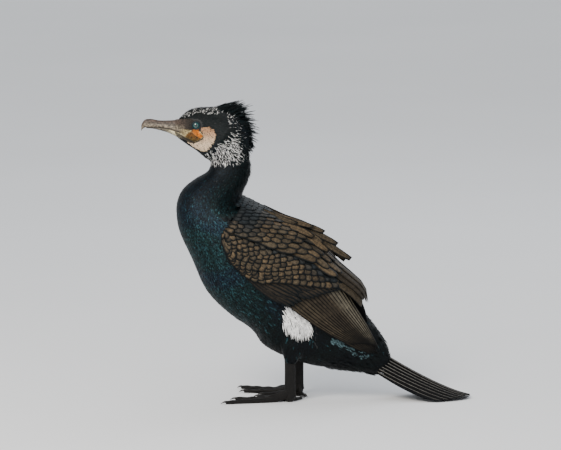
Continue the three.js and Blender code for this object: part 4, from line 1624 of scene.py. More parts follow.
    def tier_tint(self, tier: Tier, tip: Points, turn: Points, share: Points) -> Points:
        """Colour of scaly feathers: bronze on the wing, slate towards the neck and the ridge, with painted
        shade on the coverts under the scapulars' edge.

        Args:
            tier: The tier.
            tip: Distances of the tips along the trunk line.
            turn: Degrees round at the tips.
            share: Shares of the way across the zone.

        Returns:
            Linear RGB of each.
        """
        random = self.random
        count = len(tip)
        brown = mix(rgb(Tint.OLIVE_BROWN), rgb(Tint.BRONZE), random.random((count, 1)))
        brown = mix(brown, rgb(Tint.WARM_BROWN), 0.7 * random.random((count, 1)) ** 2)
        if tier.name == "greater_coverts":
            brown = mix(brown, rgb(Tint.QUILL_BROWN), 0.35 + 0.4 * (1 - share[:, None]))
        if tier.name == "coverts":
            # Towards the scapulars' edge the coverts turn slate, partly their own colour and partly painted
            # shade, then black as a painted shadow line under the overhang
            cool = mix(brown, rgb(Tint.SLATE), 0.85 * ramp(share[:, None], 0.74, 0.12))
            return mix(cool, rgb(Tint.BLACK), ramp(share[:, None], 0.9, 0.05))
        ridge = ramp(turn, 30, -16) * ramp(tip, 200, -60)
        front = ramp(tip, 84, -30) * ramp(turn, 70, -14)
        cool = 0.85 * np.maximum(ridge, front) if tier.scapular else 0 * ridge
        return mix(brown, rgb(Tint.SLATE), cool[:, None])

    def flight_vanes(self, cell: int) -> list[tuple[str, Vanes]]:
        """Lay the long feathers.

        Args:
            cell: First cell of the bake map.

        Returns:
            Names and feathers of each group.
        """
        groups = []
        profile = np.array(self.quill)[:, 0]
        for name, count, shares, roots, tips, levels, wide in self.flight:
            t = np.linspace(0, 1, count)[:, None]
            along = mix(mix(*roots, t), mix(*tips, t), profile)
            low, rear = (table_values(rows, along)[..., 0] for rows in (FORM.wing_bottom, FORM.rear_edge))
            turn = FORM.turn_at(along, mix(low, rear, mix(*shares, t)))
            level = mix(-9.0, mix(*levels, t), profile ** 0.35)
            tint = mix(rgb(Tint.OLIVE_BROWN), rgb(Tint.BRONZE), self.random.random((count, 1)))
            if name == "secondaries":
                tint = mix(tint, rgb(Tint.PALE_EDGE), 0.65 * ramp(t, 0.62, 0.2))
            else:
                tint = tint * 0.6
            width = wide * np.interp(t[:, 0], (0.7, 1.0), (1.0, 0.45))
            vanes = self.vanes(along, turn, level, width, self.quill, tint, cell, self.flight_tilt)
            groups.append((name, vanes))
            cell += count
        value = np.array(self.tertials)
        along = mix(self.tertial_root, value[:, :1], profile)
        turn = mix(value[:, 1:2], value[:, 2:3], profile)
        level = table_values(self.tertial_rise, along)[..., 0] + value[:, 4:5]
        tint = mix(rgb(Tint.OLIVE_BROWN), rgb(Tint.BRONZE), self.random.random((len(value), 1)) * 0.7)
        vanes = self.vanes(along, turn, level, value[:, 3], self.blunt, tint, cell, self.flight_tilt)
        return [*groups, ("tertials", vanes)]

    def loose_vanes(self, cell: int) -> Vanes:
        """Lay the scapulars whose tips stand clear of the back, most on the left side.

        Args:
            cell: First cell of the bake map.

        Returns:
            The feathers.
        """
        value = np.array(self.loose, float)
        profile = np.array(self.pointed)[:, 0]
        along = mix(value[:, :1], value[:, 1:2], profile)
        rise = self.right_rise if self.side is Side.RIGHT else 1.0
        level = mix(-1.0, rise * value[:, 4:5], profile)
        tint = mix(rgb(Tint.BRONZE), rgb(Tint.WARM_BROWN), self.random.random((len(value), 1)))
        turn = value[:, 2:3] + 0 * along
        return self.vanes(along, turn, level, value[:, 3], self.pointed, tint, cell, self.loose_tilt)

    def build(self, materials: Materials) -> None:
        """Make the wing's pieces.

        Args:
            materials: The finishes.
        """
        word = self.side.word
        cell = 0
        for tier in self.tiers:
            vanes = self.tier_vanes(tier, cell)
            add_piece(vanes.mesh(f"{tier.name}_{word}", self.thick), materials["scaly"], "wing_feathers")
            cell += len(vanes)
        for group, vanes in self.flight_vanes(cell):
            replaced = (f"wing_{word}",) if group == "primaries" else ()
            finish = materials["edged" if group == "tertials" else "flight"]
            add_piece(vanes.mesh(f"{group}_{word}", self.long_thick), finish, "wing_feathers", *replaced)
            cell += len(vanes)
        loose = self.loose_vanes(cell).mesh(f"loose_scapulars_{word}", self.loose_thick)
        add_piece(loose, materials["edged"], "wing_feathers")
        self.underlay(materials["down"])

    def underlay(self, material: Material) -> None:
        """Make the dark body of the wing under its feathers.

        Args:
            material: Its material.
        """
        place, depth = zip(*self.body_depth)
        along = np.linspace(place[0], place[-1], 60)[:, None]
        t = np.linspace(0, 1, 26)
        top = table_values(FORM.wing_top, along[:, 0])[..., 0][:, None] + 3
        turn = mix(top, FORM.lower_turn(along[:, 0])[:, None] - 3, t)
        depth = np.interp(along, place, depth) + 0 * t
        outer = FORM.guide(along + 0 * t, turn, self.side, depth)
        inner = FORM.guide(along + 0 * t, turn, self.side, depth - self.body_thick)
        body = loft(np.concatenate([outer, inner[:, ::-1]], 1))
        add_piece(placed_mesh(body, f"wing_body_{self.side.word}"), material, "wing_feathers")


@dataclass
class Mantle(Wing):
    """Feathers of the upper back, which close the strip between the wings.

    They are counted from the right side, so a turn below 0 is on the left.
    """

    side: Side = Side.RIGHT
    # Tips of the first and the last row along the trunk line, and the way between rows
    first: float = 16.0
    last: float = 236.0
    step: float = 8.5
    spacing: float = 9.0
    width: float = 13.0
    length: float = 26.0
    seed: int = 71

    def build(self, materials: Materials) -> None:
        """Make the rows from the neck to the rump.

        Args:
            materials: The finishes.
        """
        random = self.random
        profile = np.array(self.outline)[:, 0]
        found = []
        for k, tip in enumerate(np.arange(self.first, self.last, self.step)):
            edge = float(table_values(FORM.wing_top, tip)[0]) + 5
            reach = 2 * abs(float(FORM.guide(np.array(tip), np.array(edge), Side.RIGHT)[1]))
            count = max(int(reach / self.spacing) + k % 2, 2)
            spread = (np.arange(count) + 0.5) / count * 2 - 1
            turn = np.sign(spread) * np.abs(spread) ** 1.18 * edge
            end = tip + random.normal(0, 1.0, count)
            along = mix(np.maximum(end - self.length, 8)[:, None], end[:, None], profile)
            level = mix(-2.0, 1.0 + random.normal(0, 0.15, (count, 1)), profile)
            share = random.random((count, 1)) * min(tip / 200, 1)
            brown = mix(rgb(Tint.SLATE), rgb(Tint.OLIVE_BROWN), share)
            found.append((along, turn[:, None] + 0 * along, level, np.full(count, self.width), brown))
        along, turn, level, width, tint = (np.concatenate(v) for v in zip(*found))
        vanes = self.vanes(along, turn, level, width, self.outline, tint, 0)
        add_piece(vanes.mesh("mantle", self.thick), materials["scaly"], "plumage")


@dataclass
class Tail:
    """Fourteen stiff tail feathers in a low roof, with pale shafts, laid on the floor."""

    pairs: int = 7
    length: float = 155.0
    # Root and tip of the middle feather, and the steps from there to the next one out
    root: Triple = (146.0, 2.0, 74.0)
    root_step: Triple = (-1.0, 2.6, -4.4)
    tip: Triple = (292.0, 3.5, 1.2)
    tip_step_y: float = 6.2
    shorten: float = 1.1
    flex: float = 1.3
    # Height of one feather over the next, and how far its inner edge tucks under
    layer: float = 0.5
    tuck: float = 1.1
    spread: float = 0.86
    lowest: float = 0.25
    thick: float = 0.4
    # Height of the shafts over the vanes, and the points along and round each
    shaft_rise: float = 0.42
    shaft_steps: int = 16
    shaft_sides: int = 6
    # Feathers in a row of the bake map, its margin and the width of a patch
    map_row: int = 4
    map_margin: float = 0.02
    map_patch: float = 0.2
    seed: int = 61
    outline: Profile = (
        (0, 0.5), (0.1, 0.6), (0.25, 0.8), (0.4, 0.95), (0.55, 1.0), (0.7, 1.0), (0.82, 0.96),
        (0.91, 0.82), (0.97, 0.55), (1, 0.2),
    )

    def point(self, place: Points, share: Points, lift: Points) -> Points:
        """Points on the tail's roof.

        Args:
            place: Number of the feather from the middle, with the sign of its side.
            share: Share of its length.
            lift: Height over the roof.

        Returns:
            Points along the last axis.
        """
        place, share, lift = np.broadcast_arrays(place, share, lift)
        number, side = np.abs(place), np.where(place < 0, -1, 1)
        root = [self.root[i] + self.root_step[i] * number for i in range(3)]
        tip_x = self.tip[0] - self.shorten * number ** 2
        tip_y = self.tip[1] + self.tip_step_y * number
        z = self.tip[2] + (root[2] - self.tip[2]) * (1 - share) ** self.flex
        return np.stack([mix(root[0], tip_x, share) + 0.4 * lift, side * mix(root[1], tip_y, share),
                         np.maximum(z + lift, self.lowest)], -1)

    def build(self, materials: Materials) -> None:
        """Make the vanes and their shafts.

        Args:
            materials: The finishes.
        """
        random = np.random.default_rng(self.seed)
        count = 2 * self.pairs
        place = np.arange(count) - self.pairs + 0.5
        profile = np.array(self.outline)
        t = profile[:, 0][None, :, None]
        columns = np.linspace(-1, 1, 5)
        reach = place[:, None, None] + columns * self.spread * (0.35 + 0.65 * profile[:, 1])[:, None]
        layer = self.layer * (self.pairs - np.abs(place)) + 0.9
        inner = np.clip(-columns * np.sign(place)[:, None], 0, 1) * -self.tuck
        lift = layer[:, None, None] + inner[:, None, :] + 0.3 * (1 - columns ** 2)
        points = self.point(reach, t, lift)
        raised = self.point(reach, t, lift + 1)
        half = np.linalg.norm(points[:, :, -1] - points[:, :, 0], axis=-1)[..., None] / 2
        cell = np.stack(np.divmod(np.arange(count), self.map_row)[::-1], 1)
        patch = cell / self.map_row + self.map_margin
        tint = mix(rgb(Tint.TAIL_GREY), rgb(Tint.QUILL_BROWN), random.random((count, 1)) * 0.5)
        run, out = self.length * t, unit(raised - points)
        vanes = Vanes(points, half, columns, run, tint, out, patch, self.map_patch)
        add_piece(vanes.mesh("tail_feathers", self.thick), materials["quill"], "quills", "tail")
        shafts = []
        share = np.linspace(0.0, 0.97, self.shaft_steps)
        for number, level in zip(place, layer):
            path = self.point(number, share, level + self.shaft_rise)
            halves = np.stack([mix(0.6, 0.2, share), mix(0.5, 0.2, share)], 1)
            shafts.append(loft(tube(path, halves, self.shaft_sides)))
        add_piece(placed_mesh(joined(shafts), "tail_shafts"), materials["shaft"], "quills")


@dataclass
class Bill:
    """Hooked bill: a grooved upper half with its nail, and a pale lower half."""

    # Sections of each half: x, outer edge, cutting edge and half width
    upper: Rows = (
        (-249.8, 455.4, 445.6, 1.6), (-247.2, 460.8, 449.6, 3.6), (-243.5, 464.4, 452, 4.8),
        (-238, 465.8, 452.3, 5.4), (-230.7, 465.2, 452.3, 5.8), (-220.3, 463.3, 452.3, 6.5),
        (-203, 463.3, 449, 8), (-188.6, 464.6, 444.2, 9.4), (-180, 465.6, 440.5, 10),
        (-170, 466.3, 435.5, 10.5),
    )
    lower: Rows = (
        (-241.6, 450.4, 452, 3), (-230.7, 449.4, 452, 4.6), (-217.3, 446.3, 451.8, 5.6),
        (-203, 441.8, 448.7, 7), (-188.6, 434.2, 443.9, 8.4), (-180, 428, 440.2, 9.2),
        (-170, 422, 435, 9.6),
    )
    # Bend of a section's arc
    arc: float = 0.85
    # Groove along the side: its place between edge and ridge, half width and depth
    groove_level: float = 0.56
    groove_width: float = 0.09
    groove_depth: float = 0.9
    # Where the groove ends towards the tip, and the seam of the nail
    groove_end: float = -243.0
    nail_x: float = -237.5
    nail_depth: float = 0.35

    def half(self, rows: Rows, count: int, grooved: bool) -> BMesh:
        """Shape one half of the bill.

        Args:
            rows: x, crown, cutting edge and half width.
            count: Number of sections.
            grooved: Whether a long groove runs along each side.

        Returns:
            The half as a closed form.
        """
        x = np.linspace(rows[0][0], rows[-1][0], count)
        crown, edge, wide = table_values(rows, x).T
        turn = np.linspace(0, np.pi, 21)
        rise, out = np.sin(turn) ** self.arc, np.cos(turn)
        y = wide[:, None] * out
        z = edge[:, None] + (crown - edge)[:, None] * rise
        if grooved:
            fade = ramp(x, self.groove_end, 8)[:, None]
            dip = np.exp(-((rise - self.groove_level) / self.groove_width) ** 2) * fade
            y = y - np.sign(out) * self.groove_depth * dip
            nail = np.exp(-((x - self.nail_x) / 1.6) ** 2)[:, None] * self.nail_depth
            z = z - nail * rise
        flat = np.linspace(-1, 1, 6)[1:-1]
        floor = np.stack([wide[:, None] * flat, edge[:, None] + 0 * flat], -1)
        arc = np.stack([y, z], -1)
        ring = np.concatenate([arc, floor], 1)
        rings = np.concatenate([np.broadcast_to(x[:, None, None], (*ring.shape[:2], 1)), ring], 2)
        return loft(rings)

    @staticmethod
    def reach(x: Points, z: Points) -> Points:
        """Half width of the bill at given x and height.

        Args:
            x: Places along the bill.
            z: Heights.

        Returns:
            Half width at each.
        """
        crown, edge, wide = np.moveaxis(table_values(Bill.upper, x), -1, 0)
        keel, _, low_wide = np.moveaxis(table_values(Bill.lower, x), -1, 0)
        above = np.clip((z - edge) / (crown - edge), 0, 1) ** (1 / Bill.arc)
        below = np.clip((edge - z) / (edge - keel), 0, 1) ** (1 / Bill.arc)
        return np.where(z > edge, wide * np.sqrt(1 - above ** 2), low_wide * np.sqrt(1 - below ** 2))

    def build(self, materials: Materials) -> None:
        """Make both halves.

        Args:
            materials: The finishes.
        """
        upper = placed_mesh(self.half(self.upper, 46, True), "bill_ridge")
        paint(upper, self.upper_tint)
        add_piece(upper, materials["horn"], "horn", "bill_upper")
        lower = placed_mesh(self.half(self.lower, 36, False), "bill_floor")
        paint(lower, self.lower_tint)
        add_piece(lower, materials["lower_horn"], "lower_horn", "bill_lower")

    @staticmethod
    def upper_tint(points: Points) -> Points:
        """Colour of the upper half: brown ridge, dark groove, pale side and dark cutting edge.

        Args:
            points: Points of the surface.

        Returns:
            Linear RGB of each.
        """
        x = points[:, 0]
        crown, edge, _ = table_values(Bill.upper, x).T
        level = (points[:, 2] - edge) / (crown - edge)
        speck = 0.5 + 0.5 * np.sin(x * 1.3 + 3 * np.sin(x * 0.37) + 9 * level)
        dark = rgb(Tint.BILL_DARK)
        colour = mix(rgb(Tint.BILL_SIDE), rgb(Tint.BILL_RIDGE), ramp(level, 0.5, 0.2)[:, None])
        colour = mix(colour, dark, (0.5 * speck ** 2)[:, None])
        fade = ramp(x, Bill.groove_end, 6) * ramp(x, -182, -20)
        groove = np.exp(-((level - Bill.groove_level) / 0.1) ** 2) * fade
        low = ramp(level, 0.2, -0.12)
        return mix(colour, dark, (0.85 * np.maximum(groove, low))[:, None])

    @staticmethod
    def lower_tint(points: Points) -> Points:
        """Colour of the lower half: cream at the base, grey towards the tip and along the keel.

        Args:
            points: Points of the surface.

        Returns:
            Linear RGB of each.
        """
        share = ramp(points[:, 0], -210, 12)[:, None]
        edge = np.interp(points[:, 0], [r[0] for r in Bill.lower], [r[1] for r in Bill.lower])
        keel = np.clip((points[:, 2] - edge - 0.9) / 1.2, 0, 1)[:, None]
        speck = (0.5 + 0.5 * np.sin(points[:, 0] * 1.7 + 4 * np.sin(points[:, 2] * 0.9)))[:, None]
        dark = mix(rgb(Tint.BILL_SHADE), rgb(Tint.BILL_GREY), speck)
        pale = mix(dark, rgb(Tint.BILL_CREAM), share)
        return mix(rgb(Tint.BILL_KEEL), pale, keel)


def paint(mesh: Mesh, colour: Callable[[Points], Points]) -> None:
    """Store a colour for each vertex, as a function of its place in the bird's millimetres."""
    store_vectors(mesh, "tint", colour(read_vectors(mesh, "co") / MM - SHIFT))


@dataclass
class Face:
    """Bare skin of the face, the lids with their beads, and the eyes."""

    # Edges of the bare skin, of its orange patch and of the pouch under it, as x and z
    outline: Rows = (
        (-192, 463.4), (-183.2, 464.8), (-174.9, 466.6), (-166.7, 466.6), (-159.2, 466.3),
        (-152.6, 462.5), (-150.5, 455.3), (-153.8, 451), (-152.1, 445.3), (-147.2, 439.4), (-150.8, 435),
        (-157.6, 431.6), (-164.2, 428.2), (-171.6, 429.4), (-179.9, 434.2), (-190, 438.5), (-193, 444),
    )
    orange: Rows = (
        (-152.6, 456), (-157.2, 451.3), (-164.8, 449.9), (-166.5, 447.7), (-163.2, 443.5),
        (-157.2, 439.2), (-152.3, 435.8), (-147.6, 439.2), (-153.8, 446), (-155.8, 449.5), (-151.4, 453.5),
    )
    pouch: Rows = (
        (-167.5, 447.2), (-163.2, 443.5), (-157.2, 439.2), (-150.2, 435.2), (-155.1, 432),
        (-163.4, 428.6), (-172.4, 431.5), (-177.2, 437.6), (-174.9, 441.6),
    )
    step_mm: float = 0.45
    thick: float = 0.6
    # Height over the head's form, less than zero where it lies in it
    proud_mm: float = -0.55
    over_bill: float = 0.12
    # Radius of the opening for the eye, of the lids' ring and of the ring of beads
    eye_hole: float = 4.2
    lid_radius: float = 5.8
    bead_ring: float = 6.3
    bead_radius: float = 0.5
    beads: int = 22

    def skin(self, side: Side) -> Mesh:
        """Bare skin on one side, wrinkled and beaded.

        Args:
            side: Side of the bird.

        Returns:
            The mesh.
        """
        corners = np.array(self.outline)
        low, high = corners.min(0) - 2, corners.max(0) + 2
        bm = bmesh.new()
        steps = ((high - low) / self.step_mm).astype(int)
        bmesh.ops.create_grid(bm, x_segments=int(steps[0]), y_segments=int(steps[1]), size=0.5)
        flat = np.array([v.co[:2] for v in bm.verts])
        place = (low + high) / 2 + flat * (high - low)
        depth = edge_distance(self.outline, place)
        ring = FORM.eye_distance(place)
        reach = FORM.head_reach(place[:, 0], place[:, 1]) + self.proud_mm
        swell = 1.1 * np.exp(-((np.hypot(place[:, 0] + 158, place[:, 1] - 441) / 7) ** 2))
        fold = 0.28 * np.sin((place[:, 0] * 0.5 + place[:, 1]) * 1.5) * (place[:, 1] < 447)
        grain = 0.12 * np.sin(place[:, 0] * 4.1) * np.sin(place[:, 1] * 4.7 + place[:, 0])
        orbit = -1.2 * np.exp(-((ring - 9) / 2.5) ** 2)
        reach = reach + swell + fold + grain + orbit - np.clip(depth + 1.2, 0, 3) * 0.8
        reach = np.maximum(reach, Bill.reach(place[:, 0], place[:, 1]) + self.over_bill)
        for vert, (x, z), y in zip(bm.verts, place, reach):
            vert.co = (x, side.value * y, z)
        drop = [v for v, d, r in zip(bm.verts, depth, ring) if d > 1.4 or r < self.eye_hole]
        bmesh.ops.delete(bm, geom=drop, context="VERTS")
        bmesh.ops.solidify(bm, geom=bm.faces[:], thickness=-self.thick)
        bmesh.ops.recalc_face_normals(bm, faces=bm.faces[:])
        mesh = placed_mesh(bm, f"face_skin_{side.word}")
        paint(mesh, self.tint)
        return mesh

    def tint(self, points: Points) -> Points:
        """Colour of the bare skin at points.

        Args:
            points: Points of the surface.

        Returns:
            Linear RGB of each.
        """
        flat = points[:, [0, 2]]
        brown, dark = rgb(Tint.LORES), rgb(Tint.LORES_DARK)
        speck = 0.5 + 0.5 * np.sin(flat[:, 0] * 3.1 + 2 * np.sin(flat[:, 1] * 2.3))
        near = ramp(flat[:, 0], -172, -10)
        colour = mix(dark, brown, (0.03 + 0.4 * speck ** 2 + 0.35 * near)[:, None])
        lower = np.clip((450.6 - flat[:, 1] - 0.1 * (flat[:, 0] + 178)) / 1.6, 0, 1)
        streak = 0.5 + 0.5 * np.sin(flat[:, 1] * 2.9 + 0.9 * flat[:, 0] + 2 * np.sin(flat[:, 0] * 0.8))
        cream = mix(rgb(Tint.GAPE_CREAM), rgb(Tint.GAPE_BROWN), (0.7 * streak ** 2)[:, None])
        colour = mix(colour, cream, lower[:, None])
        edge = table_values(Bill.upper, points[:, 0])[:, 1]
        bill = np.where((points[:, 2] > edge)[:, None], Bill.upper_tint(points), Bill.lower_tint(points))
        colour = mix(colour, bill, ramp(points[:, 0], -177, -11)[:, None])
        olive = mix(rgb(Tint.POUCH_DARK), rgb(Tint.POUCH_OLIVE), speck[:, None])
        rise = np.clip((flat[:, 1] - 431 + 0.3 * (flat[:, 0] + 160)) / 12, 0, 1)[:, None]
        olive = mix(olive, rgb(Tint.POUCH_AMBER), 0.4 * rise)
        pouch = np.clip(0.5 - edge_distance(self.pouch, flat) / 2.4, 0, 1)
        colour = mix(colour, olive, pouch[:, None])
        orange = np.clip(0.5 - edge_distance(self.orange, flat) / 0.9, 0, 1)
        warm = mix(rgb(Tint.ORANGE), rgb(Tint.ORANGE_LIGHT), speck[:, None])
        colour = mix(colour, warm, orange[:, None])
        keel = np.clip((434 - flat[:, 1] - 0.55 * (flat[:, 0] + 170)) / 1.5, 0, 1)
        colour = mix(colour, dark, (0.9 * keel * (flat[:, 0] < -158))[:, None])
        rim = np.clip(1.6 - np.abs(FORM.eye_distance(flat) - 7.6), 0, 1) * (flat[:, 1] > 450.5)
        return mix(colour, rgb(Tint.EYE_RIM), (0.9 * rim)[:, None])

    def lids(self, side: Side) -> Mesh:
        """Ring of the lids with its turquoise beads.

        Args:
            side: Side of the bird.

        Returns:
            The mesh.
        """
        x, _, z, _ = FORM.eye
        turn = np.linspace(0, 2 * np.pi, 49)
        path = np.stack([np.cos(turn), 0 * turn, np.sin(turn)], 1) * self.lid_radius + (x, 0, z)
        path[:, 1] = side.value * (FORM.head_reach(path[:, 0], path[:, 2]) + 0.35)
        halves = np.stack([1.0 + 0.12 * np.sin(turn * 24), 0.95 + 0.1 * np.sin(turn * 24)], 1)
        rings = tube(path, halves, 10, (0, 1, 0))
        parts = [loft(rings[:-1])]
        for k in range(self.beads):
            angle = 2 * math.pi * k / self.beads
            bead = bmesh.new()
            bmesh.ops.create_icosphere(bead, subdivisions=2, radius=self.bead_radius)
            bx, bz = x + self.bead_ring * math.cos(angle), z + self.bead_ring * math.sin(angle)
            by = side.value * (float(FORM.head_reach(np.array(bx), np.array(bz))) + 1.0)
            bmesh.ops.translate(bead, verts=bead.verts[:], vec=(bx, by, bz))
            parts.append(bead)
        return placed_mesh(joined(parts), f"lids_{side.word}")

    def eye(self, side: Side) -> Mesh:
        """Eyeball of one side.

        Args:
            side: Side of the bird.

        Returns:
            The mesh.
        """
        x, y, z, r = FORM.eye
        bm = bmesh.new()
        bmesh.ops.create_uvsphere(bm, u_segments=48, v_segments=32, radius=r)
        bmesh.ops.rotate(bm, verts=bm.verts[:], matrix=Matrix.Rotation(math.pi / 2, 3, "X"))
        bmesh.ops.translate(bm, verts=bm.verts[:], vec=(x, side.value * y, z))
        return placed_mesh(bm, f"eyeball_{side.word}")

    def build(self, materials: Materials) -> None:
        """Make the face of both sides.

        Args:
            materials: The finishes.
        """
        for side in Side:
            add_piece(self.skin(side), materials["face"], "leg_skin")
            add_piece(self.lids(side), materials["lids"], "iris")
            add_piece(self.eye(side), materials["iris"], "iris", f"eye_{side.word}")


@dataclass(frozen=True)
class Toe:
    """One toe: turn outwards in degrees, length, radius at the root, places of its joints."""

    turn: float
    length: float
    radius: float
    joints: tuple[float, ...]


@dataclass
class Leg:
    """Scaled shank and webbed foot with its claws."""

    side: Side
    toes: tuple[Toe, ...] = (
        Toe(21, 108, 4.8, (0.3, 0.52, 0.72, 0.9)),
        Toe(0, 91, 4.8, (0.38, 0.68, 0.92)),
        Toe(-27, 65, 4.4, (0.5, 0.88)),
        Toe(-120, 31, 3.8, (0.5,)),
    )
    # Turn of the whole foot, away from straight ahead
    foot_turn: float = 8.0
    # Shank: its ends, half sizes and swelling at the joints
    top: float = 74.0
    bottom: float = 9.0
    half_long: float = 8.6
    half_wide: float = 5.2
    knuckle: float = 1.16
    shank_scutes: int = 15
    toe_scute_mm: float = 3.2
    ball: Triple = (8.4, 6.6, 9.4)
    ball_height: float = 8.0
    # Share of a toe over which the instep falls, its rise and swelling on a toe, and its rise on a web
    instep: float = 0.45
    instep_rise: float = 11.0
    instep_swell: float = 3.6
    web_rise: float = 9.0
    claw_mm: float = 12.0
    claw_radius: float = 2.2
    web_thick: float = 0.7

    def __post_init__(self) -> None:
        """Find the place of the ankle on the floor."""
        self.ankle = np.array([FORM.leg_x[self.side], self.side.value * FORM.stance, 0.0])

    def ahead(self, toe: Toe) -> Points:
        """Direction of a toe on the floor."""
        turn = math.radians(toe.turn + self.side.value * self.foot_turn)
        return np.array([-math.cos(turn), self.side.value * math.sin(turn), 0.0])

    def shank(self) -> BMesh:
        """Shank with scutes across its front.

        Returns:
            The shank as a closed form.
        """
        t = np.linspace(0, 1, 70)
        path = self.ankle + np.stack([0 * t, 0 * t, mix(self.top, self.bottom, t)], 1)
        swell = 1 + (self.knuckle - 1) * np.abs(2 * t - 1) ** 6
        scute = 0.22 * np.abs(np.sin(t * np.pi * self.shank_scutes))
        halves = np.stack([self.half_wide * swell + scute, self.half_long * swell + scute], 1)
        return loft(tube(path, halves, 24, (1, 0, 0)))

    def toe(self, toe: Toe) -> BMesh:
        """A toe with its joints and scutes.

        Args:
            toe: The toe.

        Returns:
            The toe as a closed form.
        """
        ahead = self.ahead(toe)
        t = np.linspace(0, 1, 80)
        radius = toe.radius * (1 - 0.42 * t)
        radius = radius * (1 + sum(0.16 * np.exp(-(((t - j) / 0.06) ** 2)) for j in toe.joints))
        scute = 0.16 * np.abs(np.sin(t * np.pi * toe.length / self.toe_scute_mm))
        path = self.ankle + ahead * (toe.length * t)[:, None]
        fall = ramp(t, self.instep, -self.instep)
        path[:, 2] = radius * 0.86 + self.instep_rise * fall ** 1.6
        halves = np.stack([radius, radius * 1.05 + scute + self.instep_swell * fall], 1)
        rings = tube(path, halves, 16)
        rings[..., 2] = np.maximum(rings[..., 2], FLOOR_GAP)
        return loft(rings)

    def claw(self, toe: Toe) -> BMesh:
        """Curved claw at the tip of a toe.

        Args:
            toe: The toe.

        Returns:
            The claw as a closed form.
        """
        ahead = self.ahead(toe)
        t = np.linspace(0, 1, 14)
        path = self.ankle + ahead * (toe.length - 3 + self.claw_mm * t)[:, None]
        path[:, 2] = 3.2 + 1.3 * np.sin(np.pi * t) - 2.4 * t * t
        half = self.claw_radius * (1 - t) ** 0.7 + 0.15
        rings = tube(path, np.stack([0.75 * half, half], 1), 12)
        rings[..., 2] = np.maximum(rings[..., 2], FLOOR_GAP)
        return loft(rings)

    def web(self, first: Toe, second: Toe) -> BMesh:
        """Web between two toes, sagging between them, with fine folds.

        Args:
            first: Toe on one side.
            second: Toe on the other.

        Returns:
            The web as a closed form.
        """
        rows, columns = 40, 28
        out = (0.06 + 0.88 * np.linspace(0, 1, rows))[:, None]
        t = np.linspace(0, 1, columns)
        hollow = 1 - 0.2 * np.sin(np.pi * t)
        ends = [self.ahead(toe) * toe.length for toe in (first, second)]
        flat = mix(ends[0], ends[1], t[:, None])[None] * (out * hollow)[..., None] + self.ankle
        sag = np.sin(np.pi * t) ** 0.7
        folds = 0.16 * np.sin(out * 38 + 3 * np.sin(t * 9)) * sag
        rise = mix(np.full((rows, columns), 3.6), 1.2, sag) * (1 - 0.25 * out) + folds
        rise = rise + self.web_rise * ramp(out, self.instep, -self.instep) ** 1.6
        flat[..., 2] = np.maximum(rise, 0.6)
        under = flat.copy()
        under[..., 2] = np.maximum(rise - self.web_thick, 0.1)
        return loft(np.concatenate([flat, under[:, ::-1]], 1))

    def build(self, materials: Materials) -> None:
        """Make shank, foot and claws.

        Args:
            materials: The finishes.
        """
        word = self.side.word
        shank = placed_mesh(self.shank(), f"shank_skin_{word}")
        add_piece(shank, materials["leg"], "leg_skin", f"shank_{word}")
        ball = bmesh.new()
        bmesh.ops.create_uvsphere(ball, u_segments=28, v_segments=18, radius=1.0)
        bmesh.ops.scale(ball, verts=ball.verts[:], vec=self.ball)
        bmesh.ops.translate(ball, verts=ball.verts[:], vec=self.ankle + (0, 0, self.ball_height))
        for vert in ball.verts:
            vert.co.z = max(vert.co.z, FLOOR_GAP)
        toes = [self.toe(toe) for toe in self.toes]
        webs = [self.web(first, second) for first, second in zip(self.toes, self.toes[1:])]
        foot = placed_mesh(joined([ball, *toes, *webs]), f"foot_skin_{word}")
        add_piece(foot, materials["leg"], "leg_skin", f"foot_{word}")
        claws = placed_mesh(joined([self.claw(toe) for toe in self.toes]), f"claws_{word}")
        add_piece(claws, materials["claw"], "horn")


